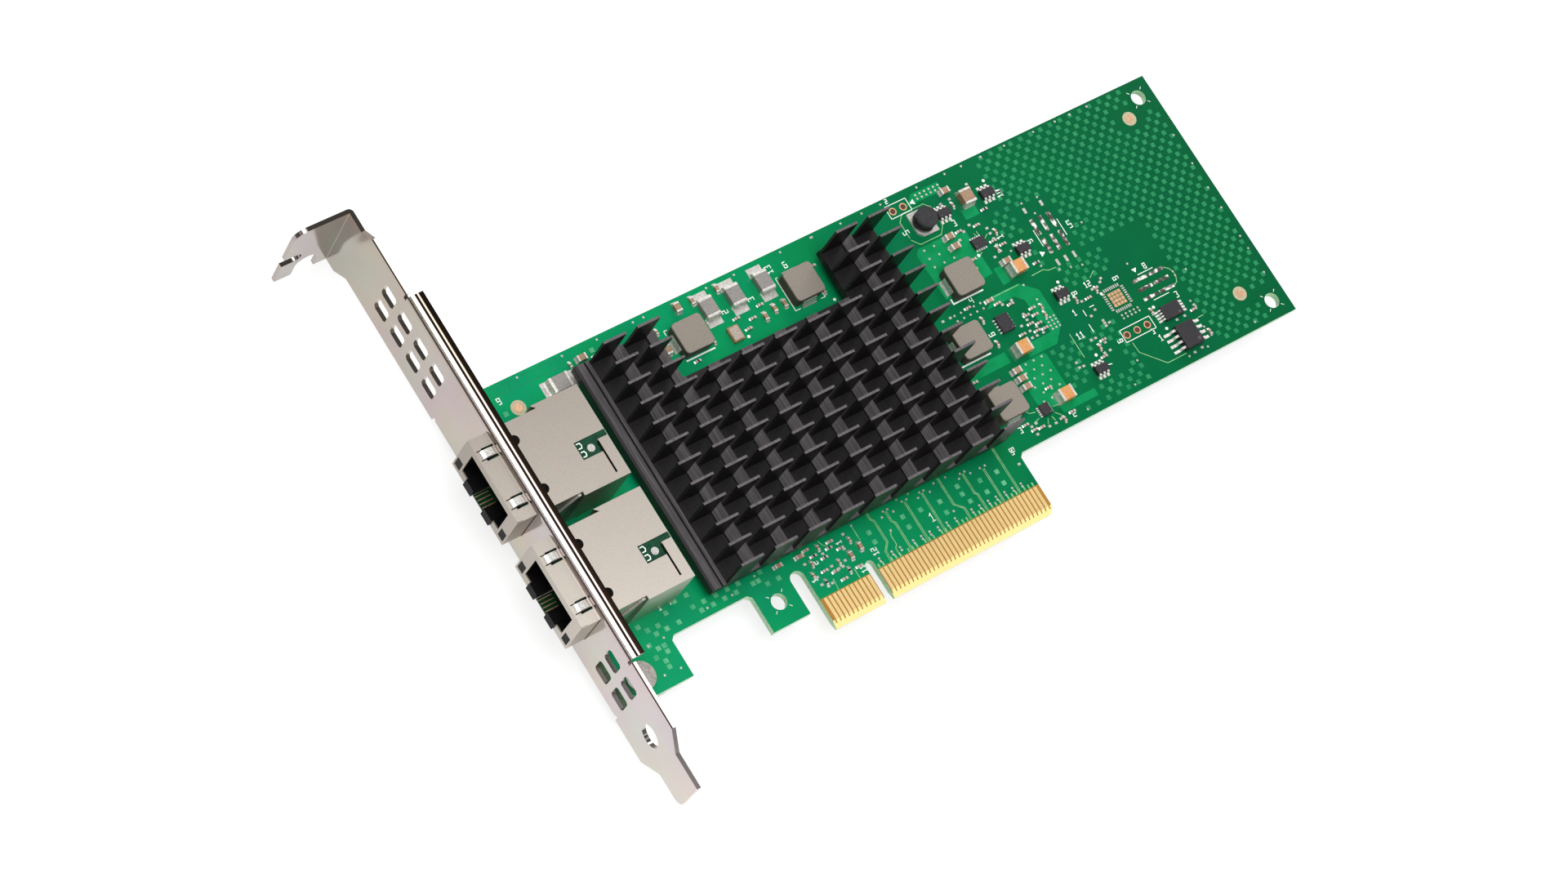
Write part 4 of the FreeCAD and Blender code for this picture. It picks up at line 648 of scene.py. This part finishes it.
# slots and holes in the roofs, the gaps beside the springs and a notch at each roof's edge are thin dark
# pieces laid on the tin: painted shade
shade = speckled("opening_in_shade", 0.5, "#0b0908", "#1a1512",
                 {"Roughness": 0.9, "Specular IOR Level": 0.05}, detail=2.0)
def spot(x, y, turns=0):
    """gives the place of (along, across, up) on a part at x, y, turned by quarter turns"""
    along, across = ((1, 0), (0, 1), (-1, 0), (0, -1))[turns], ((0, 1), (-1, 0), (0, -1), (1, 0))[turns]
    return lambda a, b, z: (x + a * along[0] + b * across[0], y + a * along[1] + b * across[1], z)


def extrude(shape, place, outline, low, high):
    """a closed solid: an outline of (along, up) points drawn out from low to high across"""
    skin(shape, [[place(a, b, z) for a, z in outline] for b in (low, high)])


ROOF = 13.1
JACK_MIDDLES = (27.8, 49.6)
folds, shades, joints, marks, boards, springs, leads = (bmesh.new() for _ in range(7))
for middle in JACK_MIDDLES:
    for left, right, bottom, top in ((-62.1, -60.7, ROOF, 13.4), (-62.1, -61.8, 13.4, 13.5)):
        block(folds, left, right, middle - 8.5, middle + 8.5, bottom, top)
    for side in (-5.08, 5.08):
        rise = [(-61.6, ROOF), (-61.2, 13.5), (-60.6, 13.75), (-59.4, 13.75), (-58.8, 13.5), (-58.3, ROOF)]
        extrude(springs, spot(0, middle + side), rise, -0.75, 0.75)
        for edge in (-0.93, 0.93):
            block(shades, -61.9, -58.2, middle + side + edge - 0.09, middle + side + edge + 0.09, ROOF,
                  13.42)
        disc(shades, -54.1, middle + side, 1.0, ROOF, ROOF + 0.02, 20)
    block(shades, -40.45, -40.05, middle - 8.2, middle - 1.6, ROOF, ROOF + 0.02)
    block(boards, -40.1, -38.0, middle - 1.3, middle - 0.1, ROOF, ROOF + 0.02)
    for radius, low, high in ((0.9, 12.2, 12.8), (0.75, 12.8, 12.95), (0.45, 12.95, 13.05)):
        disc(joints, -42.0, middle - 2.2, radius, low, high, 16)
    for low in (-3.2, -1.5):
        points = [(-44.3, low), (-43.6, low), (-43.4, low + 0.5), (-43.6, low + 1.0), (-44.3, low + 1.0)]
        stroke(marks, [(x, middle + y) for x, y in points], 0.2, 12.2, 13.0)
    block(boards, -62.0, -57.8, middle - 1.7, middle + 1.7, 3.0, 3.3)
    for step in range(4):
        block(leads, -61.9, -59.0, middle - 1.3 + 0.8 * step, middle - 1.1 + 0.8 * step, 3.3, 3.36)
    prism(shades, [(-48.0, middle + 8.65), (-47.2, middle + 8.65), (-48.0, middle + 9.3)], ROOF,
          ROOF + 0.02)
    slant = [(-48.3, 12.6), (-48.9, 12.6), (-54.4, 3.5), (-53.8, 3.5)]
    extrude(springs, spot(0, middle - 8.65), slant, -0.05, -0.45)
piece("jack_rolled_edges", folds, tin)
piece("jack_slot_shade", shades, shade)
piece("jack_board_edges", boards, inner_green)
piece("jack_board_marks", marks, ink)
piece("jack_board_joints", joints, tinned)
piece("jack_ground_springs", springs, tinned)
piece("jack_board_leads", leads, copper)


# ---- Heat sink
# One aluminium extrusion, sawn across into separate fins and anodised black. The oxide has a
# dim sheen. Upward faces are painted paler the higher they stand, painted light on the strips
# and fin tops that leaves the floor between the rows in painted shade; the strips where the saw
# went through are paler still, for their saw marks and for painted light.
FIN_START, FIN_PITCH, FIN_LONG = -29.05, 7.62, 5.0
anodised, tree, shader = finish("black_anodised_aluminium")
where = node(tree, "ShaderNodeTexCoord")
stretch = node(tree, "ShaderNodeMapping", {"Scale": (1 / (0.22 * MM), 1 / (9 * MM), 1 / (0.5 * MM))},
               {0: (where, "Object")})
lines = node(tree, "ShaderNodeTexNoise", {"Scale": 1.0, "Detail": 3.0}, {"Vector": (stretch, 0)})
along = node(tree, "ShaderNodeSeparateXYZ", links={0: (where, "Object")})
facing = node(tree, "ShaderNodeSeparateXYZ", links={0: (where, "Normal")})
upward = passes(tree, facing, "Z", 0.9)
place = node(tree, "ShaderNodeMapRange", {"From Min": FIN_START * MM,
                                          "From Max": (FIN_START + FIN_PITCH) * MM, "clamp": False},
             {0: (along, "X")})
column = node(tree, "ShaderNodeMath", {"operation": "FRACT"}, {0: (place, 0)})
sawn_through = passes(tree, column, 0, FIN_LONG / FIN_PITCH)
on_strip = passes(tree, along, "Z", 4.15 * MM)
on_top = passes(tree, along, "Z", 13.0 * MM)
# painted light and shade: upward faces paler the higher they stand, the sawn strips palest
sides, shaded_floor_tone, lit_strip_tone, sawn_and_lit_tone, lit_top_tone = (
    node(tree, "ShaderNodeValToRGB", {"stops": [(0.3, dark), (0.75, light)]}, {0: (lines, 0)})
    for dark, light in (("#141213", "#211e1f"), ("#181617", "#242122"), ("#242123", "#353134"),
                        ("#3a3739", "#625e61"), ("#4d494c", "#716d70"))
)
colour = sides
for chooser, tone in ((upward, shaded_floor_tone), (on_strip, lit_strip_tone), (sawn_through, sawn_and_lit_tone), (on_top, lit_top_tone)):
    if chooser is not upward:
        chooser = both(tree, upward, chooser)
    if tone is sawn_and_lit_tone:
        chooser = both(tree, chooser, on_strip)
    colour = node(tree, "ShaderNodeMix", {"data_type": "RGBA"},
                  {0: (chooser, 0), 6: (colour, 0 if colour is sides else 2), 7: (tone, 0)})
relief = node(tree, "ShaderNodeBump", {"Strength": 0.25, "Distance": 0.02 * MM}, {"Height": (lines, 0)})
node(tree, shader, {"Roughness": 0.4, "IOR": 1.5, "Specular IOR Level": 0.25},
     {"Base Color": (colour, 2), "Normal": (relief, 0)})
dress("heat_sink", anodised)


# ---- Controller chip and its pad
# Hidden under the heat sink: a package on green laminate, its plated copper lid and a
# soft silicone pad that fills the gap to the sink.
pad_finish = speckled("silicone_pad", 0.7, "#8c8f92", "#a5a8ab", {"Roughness": 0.8, "IOR": 1.41})
dress("thermal_pad", pad_finish)
dress("controller_base", inner_green)
dress("controller_lid", nickel)


# ---- Power coils
# Iron powder pressed round a flat copper winding: a matt grey-brown block with speckle,
# standing on two tinned copper clips that fold in under it and are soldered down.
def slab(shape, place, long, wide, low, high, corner, bevel):
    """an upright block with rounded corners and a softened top edge"""
    corners = []
    for start, a, b in ((0, 1, 1), (90, -1, 1), (180, -1, -1), (270, 1, -1)):
        for step in range(5):
            turn = math.radians(start + 22.5 * step)
            corners.append((a * (long / 2 - corner) + corner * math.cos(turn),
                            b * (wide / 2 - corner) + corner * math.sin(turn)))
    rings = []
    for z, inset in ((low, 0), (high - bevel, 0), (high - bevel * 0.3, bevel * 0.3), (high, bevel)):
        rings.append([place(a * (1 - 2 * inset / long), b * (1 - 2 * inset / wide), z) for a, b in corners])
    skin(shape, rings)


powder = speckled("pressed_iron_powder", 0.2, "#7a7268", "#968d83", {"Roughness": 0.6, "Metallic": 0.2},
                  0.35)
# the sides below the top edge take a darker copy of the powder: painted shade
shaded_powder = speckled("pressed_iron_powder_painted_shade", 0.3, "#3d362f", "#574f47", {"Roughness": 0.7})
COILS = ((-7.0, 60.6, 0), (18.7, 60.4, 3), (49.0, 47.7, 0), (42.8, 36.0, 0), (42.3, 22.35, 1))
for count, (x, y, turns) in enumerate(COILS, 1):
    place = spot(x, y, turns)
    body = bmesh.new()
    slab(body, place, 6.5, 6.5, 2.55, 3.0, 0.8, 0.12)
    piece("power_coil_body_%d" % count, body, powder, ["power_coil_%d" % count])
    skirt = bmesh.new()
    slab(skirt, place, 6.4, 6.4, 0.15, 2.56, 0.8, 0.02)
    piece("power_coil_skirt_%d" % count, skirt, shaded_powder)
    clips = bmesh.new()
    for side in (-1, 1):
        ends = [(side * 2.6, 0), (side * 4.0, 0), (side * 3.6, 0.35), (side * 3.32, 1.5), (side * 3.2, 1.5)]
        extrude(clips, place, ends, -1.6, 1.6)
    piece("power_coil_clips_%d" % count, clips, tinned)


# ---- Drum coil
# Enamelled wire wound on a ferrite drum between two rims, on a base drawn as one tinned
# plate; the ferrite is nearly black with a dull shine and a turned ring on the upper rim.
ferrite = speckled("fired_ferrite", 0.4, "#1d1d20", "#333338", {"Roughness": 0.32})
wire = speckled("enamelled_wire", 0.3, "#2a1712", "#4a2a1e", {"Roughness": 0.35})
DRUM = (49.2, 61.3)
drum = bmesh.new()
for radius, low, high in ((2.25, 0.35, 0.95), (2.25, 2.35, 2.85), (2.05, 2.85, 2.95)):
    disc(drum, *DRUM, radius, low, high, 40)
piece("drum_rims", drum, ferrite, ["drum_coil_core"])
winding = bmesh.new()
disc(winding, *DRUM, 1.85, 0.95, 2.35, 32)
piece("drum_winding", winding, wire)
tabs = bmesh.new()
prism(tabs, [(46.9, 59.6), (47.9, 58.6), (51.5, 58.6), (51.5, 63.0), (50.5, 64.0), (46.9, 64.0)], 0, 0.35)
piece("drum_tabs", tabs, tinned, ["drum_coil_base"])


# ---- Ferrite beads
# Grey ferrite blocks with silver caps fired round both ends, on wide tinned pads that
# carry the supply current; solder climbs each cap.
grey_ferrite = speckled("ground_grey_ferrite", 0.25, "#77736f", "#989491", {"Roughness": 0.5}, 0.2)
beads, caps, lands = bmesh.new(), bmesh.new(), bmesh.new()
for x, y, turns in ((-0.4, 64.2, 1), (5.7, 64.2, 1), (12.4, 64.2, 1), (-34.5, 63.5, 0)):
    place = spot(x, y, turns)
    extrude(beads, place, [(-1.6, 0.1), (1.6, 0.1), (1.6, 1.45), (-1.6, 1.45)], -1.48, 1.48)
    for side in (-1, 1):
        profile = [(1.5, 0), (2.2, 0), (2.2, 1.15), (2.05, 1.4), (1.85, 1.5), (1.5, 1.5)]
        extrude(caps, place, [(side * a, z) for a, z in profile], -1.5, 1.5)
        extrude(caps, place, [(side * a, z) for a, z in ((2.2, 0), (2.95, 0), (2.5, 0.25), (2.2, 0.8))],
                -1.35, 1.35)
        extrude(lands, place, [(side * a, z) for a, z in ((1.7, 0), (3.6, 0), (3.6, 0.08), (1.7, 0.08))],
                -1.6, 1.6)
piece("bead_bodies", beads, grey_ferrite, ["ferrite_beads"])
silver = speckled("fired_silver_caps", 0.5, "#c4c0ba", "#efece7", {"Metallic": 0.5, "Roughness": 0.38}, 0.2)
piece("bead_caps", caps, silver)
piece("bead_lands", lands, tinned)


# ---- Ceramic capacitors and resistors
# Fired blocks with tinned ends, soldered to a pad at each end; large ones fire orange,
# small ones grey-brown, and resistors carry a black glaze.
orange = speckled("fired_orange_titanate", 0.6, "#c98a4c", "#dda066", {"Roughness": 0.35})
taupe = speckled("fired_grey_titanate", 0.4, "#8d6e56", "#a98b70", {"Roughness": 0.4})
glaze = speckled("black_resistor_glaze", 0.3, "#141416", "#26262a", {"Roughness": 0.35})


def chip_parts(name, material, node_name, size, places):
    """fired blocks with tinned ends at places, each (x, y, turns)"""
    long, wide, high = size
    bodies, ends = bmesh.new(), bmesh.new()
    for x, y, turns in places:
        place = spot(x, y, turns)
        reach, inner = long / 2, long / 2 - 0.28 * long ** 0.5
        extrude(bodies, place, [(-inner, 0.05), (inner, 0.05), (inner, high - 0.03), (-inner, high - 0.03)],
                0.03 - wide / 2, wide / 2 - 0.03)
        for side in (-1, 1):
            profile = [(inner, 0.03), (reach + 0.35, 0.03), (reach + 0.1, 0.3 * high), (reach, 0.6 * high),
                       (reach, high - 0.08), (reach - 0.08, high), (inner, high)]
            extrude(ends, place, [(side * a, z) for a, z in profile], -wide / 2, wide / 2)
    piece(name + "_bodies", bodies, material, [node_name] if node_name else ())
    piece(name + "_ends", ends, silver)


chip_parts("large_capacitor", orange, "large_capacitors", (3.2, 2.6, 1.9),
    ((61.4, 45.1, 0), (52.5, 30.6, 0), (54.9, 18.8, 0)))
chip_parts("grey_large_capacitor", taupe, "", (3.2, 2.6, 1.9), ((60.1, 61.9, 1),))
chip_parts("middle_capacitor", taupe, "middle_capacitors", (2.0, 1.25, 1.0),
    ((-28.0, 66.1, 0), (57.0, 65.0, 0), (52.3, 54.2, 0), (52.3, 56.4, 0), (48.8, 27.2, 0), (48.8, 25.4, 0),
    (48.8, 23.6, 0), (60.2, 47.2, 0), (-5.8, 66.9, 1), (-12.2, 60.4, 1)))
chip_parts("small_capacitor", taupe, "small_capacitors", (1.6, 0.8, 0.6),
    ((-2.3, 66.9, 1), (3.5, 67.0, 1), (9.2, 58.1, 1), (11.7, 58.8, 1), (14.1, 58.8, 1), (-16.3, 15.2, 0),
    (-11.6, 14.9, 0), (-2.4, 10.7, 1), (0.2, 11.4, 1), (52.3, 41.8, 0)))
chip_parts("small_resistor", glaze, "small_resistors", (1.0, 0.5, 0.4),
    ((-7.8, 56.1, 0), (-9.0, 13.8, 0), (-7.2, 12.6, 0), (-5.4, 13.8, 0), (-4.2, 8.4, 1), (-9.6, 8.4, 1),
    (62.6, 58.4, 0), (66.0, 44.4, 0)))


# ---- Crystal
# A ceramic tray with a plated lid welded on: a pale metal plate in a gold-brown rim.
tray, lid = bmesh.new(), bmesh.new()
place = spot(1.8, 57.6, 1)
slab(tray, place, 3.2, 2.5, 0.05, 0.6, 0.25, 0.05)
slab(lid, place, 2.75, 2.05, 0.6, 0.8, 0.2, 0.05)
piece("crystal_tray", tray, speckled("gold_plated_rim", 0.4, "#806239", "#a3834f",
                                     {"Metallic": 0.3, "Roughness": 0.4}),
      ["crystal"])
piece("crystal_lid", lid, speckled("welded_lid", 0.4, "#9c8f84", "#b9aca0",
                                   {"Metallic": 0.3, "Roughness": 0.45}))


# ---- Moulded chips
# Black epoxy moulded round a die, on bent tinned leads or, for the flat ones, on plates
# flush with the underside; a dimple marks the first lead. The wide memory chip and two of the
# flat chips are drawn smaller than the solids that they stand for.
epoxy = speckled("moulded_epoxy", 0.25, "#1f1d20", "#333136",
                 {"Roughness": 0.5, "IOR": 1.55, "Specular IOR Level": 0.3}, 0.3)
dimple = speckled("polished_dimple", 0.2, "#47454a", "#5b595f", {"Roughness": 0.3})
bright = speckled("tinned_leads", 0.3, "#d9d6d1", "#fbfaf7", {"Metallic": 0.3, "Roughness": 0.3})


def gull_chip(name, node_name, size, pitch, count, reach, wire, places):
    """chips whose rows of leads run along the part, stepping down from mid-height to the board"""
    long, wide, high = size
    bodies, leads, marks = bmesh.new(), bmesh.new(), bmesh.new()
    for x, y, turns in places:
        place = spot(x, y, turns)
        slab(bodies, place, long, wide, 0.1, high + 0.1, 0.08, 0.1)
        middle = spot(x, y, (turns + 1) % 4)
        for step in range(count):
            at = (step - (count - 1) / 2) * pitch
            for side in (-1, 1):
                root, knee = wide / 2, 0.1 + high / 2
                profile = [(root, knee), (root + 0.35 * reach, knee), (root + 0.55 * reach, 0.04),
                           (root + reach, 0.04),
                           (root + reach, 0.2), (root + 0.65 * reach, 0.2),
                           (root + 0.45 * reach, knee + 0.15),
                           (root, knee + 0.15)]
                extrude(leads, middle, [(side * a, z) for a, z in profile], at - wire / 2, at + wire / 2)
                profile = [(root + 0.4 * reach, 0), (root + 1.3 * reach, 0), (root + 1.3 * reach, 0.06),
                           (root + 0.4 * reach, 0.06)]
                extrude(leads, middle, [(side * a, z) for a, z in profile], at - wire * 0.6,
                        at + wire * 0.6)
        mark = place(-long / 2 + 0.18 * long, -wide / 2 + 0.2 * wide, 0)
        disc(marks, mark[0], mark[1], 0.09 * min(long, wide), high + 0.1, high + 0.11, 12)
    piece(name + "_bodies", bodies, epoxy, [node_name])
    piece(name + "_leads", leads, bright)
    piece(name + "_marks", marks, dimple)


gull_chip("six_lead_chip", "six_lead_chips", (2.9, 1.6, 1.1), 0.95, 3, 0.8, 0.5,
          ((64.8, 61.0, 0), (64.8, 48.0, 0), (66.6, 36.6, 0), (65.0, 20.1, 0), (54.0, 61.1, 0)))
gull_chip("slim_memory_chip", "memory_chip_upper", (3.0, 4.4, 0.9), 0.65, 4, 1.0, 0.36, ((85.7, 23.95, 1),))
gull_chip("wide_memory_chip", "memory_chip_lower", (5.1, 4.2, 1.7), 1.27, 4, 1.8, 0.5, ((85.7, 18.1, 1),))

bodies, plates, marks = bmesh.new(), bmesh.new(), bmesh.new()
for x, y, turns, long, wide in ((57.2, 52.8, 0, 2.9, 2.1), (52.3, 36.5, 1, 3.6, 2.9),
                                (49.5, 18.1, 1, 2.3, 2.1)):
    place = spot(x, y, turns)
    slab(bodies, place, long, wide, 0.08, 0.9, 0.06, 0.04)
    for side in (-1, 1):
        for step in range(5):
            at = (step - 2) * long * 0.19
            extrude(plates, place, [(at - 0.14, 0), (at + 0.14, 0), (at + 0.14, 0.24), (at - 0.14, 0.24)],
                    side * (wide / 2 - 0.2), side * (wide / 2 + 0.45))
    mark = place(0.1 - 0.4 * long, 0.1 - 0.36 * wide, 0)
    disc(marks, mark[0], mark[1], 0.2, 0.9, 0.91, 12)
piece("flat_chip_bodies", bodies, epoxy, ["flat_chips"])
piece("flat_chip_plates", plates, bright)
piece("flat_chip_marks", marks, dimple)


# ---- Smallest chip parts
# Ceramic parts a millimetre long, scattered round the converters, the clock and the
# fingers: at this size little shows but two bright ends.
chip_parts("tiny_part", taupe, "", (1.0, 0.5, 0.45),
    ((59.6, 36.8, 0), (57.6, 36.0, 0), (59.4, 35.4, 0), (61.2, 34.6, 1), (57.4, 34.2, 0), (59.0, 33.6, 0),
    (61.4, 36.2, 1), (57.8, 32.4, 0), (59.6, 32.2, 0), (56.0, 39.4, 0), (53.6, 40.6, 0), (47.4, 42.4, 0),
    (48.6, 33.6, 1), (48.6, 39.0, 1), (54.6, 33.0, 0), (53.0, 21.6, 0), (54.6, 15.4, 0), (52.2, 14.8, 1),
    (47.0, 15.4, 0), (45.4, 15.6, 0), (44.2, 17.2, 0), (61.9, 53.4, 1), (61.9, 50.6, 0), (60.2, 50.2, 1),
    (59.2, 56.2, 0), (55.0, 56.6, 0), (54.4, 50.4, 0), (53.4, 48.6, 0), (60.4, 52.0, 0), (57.0, 61.8, 1),
    (68.9, 34.4, 1), (71.6, 33.6, 0), (74.0, 34.4, 1), (67.6, 24.0, 1), (69.2, 25.0, 0), (67.4, 22.0, 0),
    (82.0, 25.6, 1), (90.6, 22.2, 0), (90.8, 16.8, 1), (-10.2, 12.6, 1), (-8.6, 10.4, 0), (-6.8, 9.4, 0),
    (-5.2, 10.6, 1), (-3.4, 12.8, 0), (-7.4, 14.8, 1), (-4.6, 14.8, 0), (-2.0, 8.2, 0), (-6.0, 7.4, 0),
    (-11.2, 10.6, 1), (-1.0, 13.4, 1), (-9.8, 15.4, 0), (6.8, 58.9, 0), (-2.8, 58.2, 1), (23.6, 63.0, 0),
    (-12.0, 64.4, 1), (22.8, 57.6, 1), (4.9, 57.4, 0), (3.8, 60.2, 0), (9.6, 60.6, 0), (-25.2, 65.4, 0),
    (-30.6, 65.8, 1), (38.6, 31.0, 1), (39.8, 28.9, 0)))
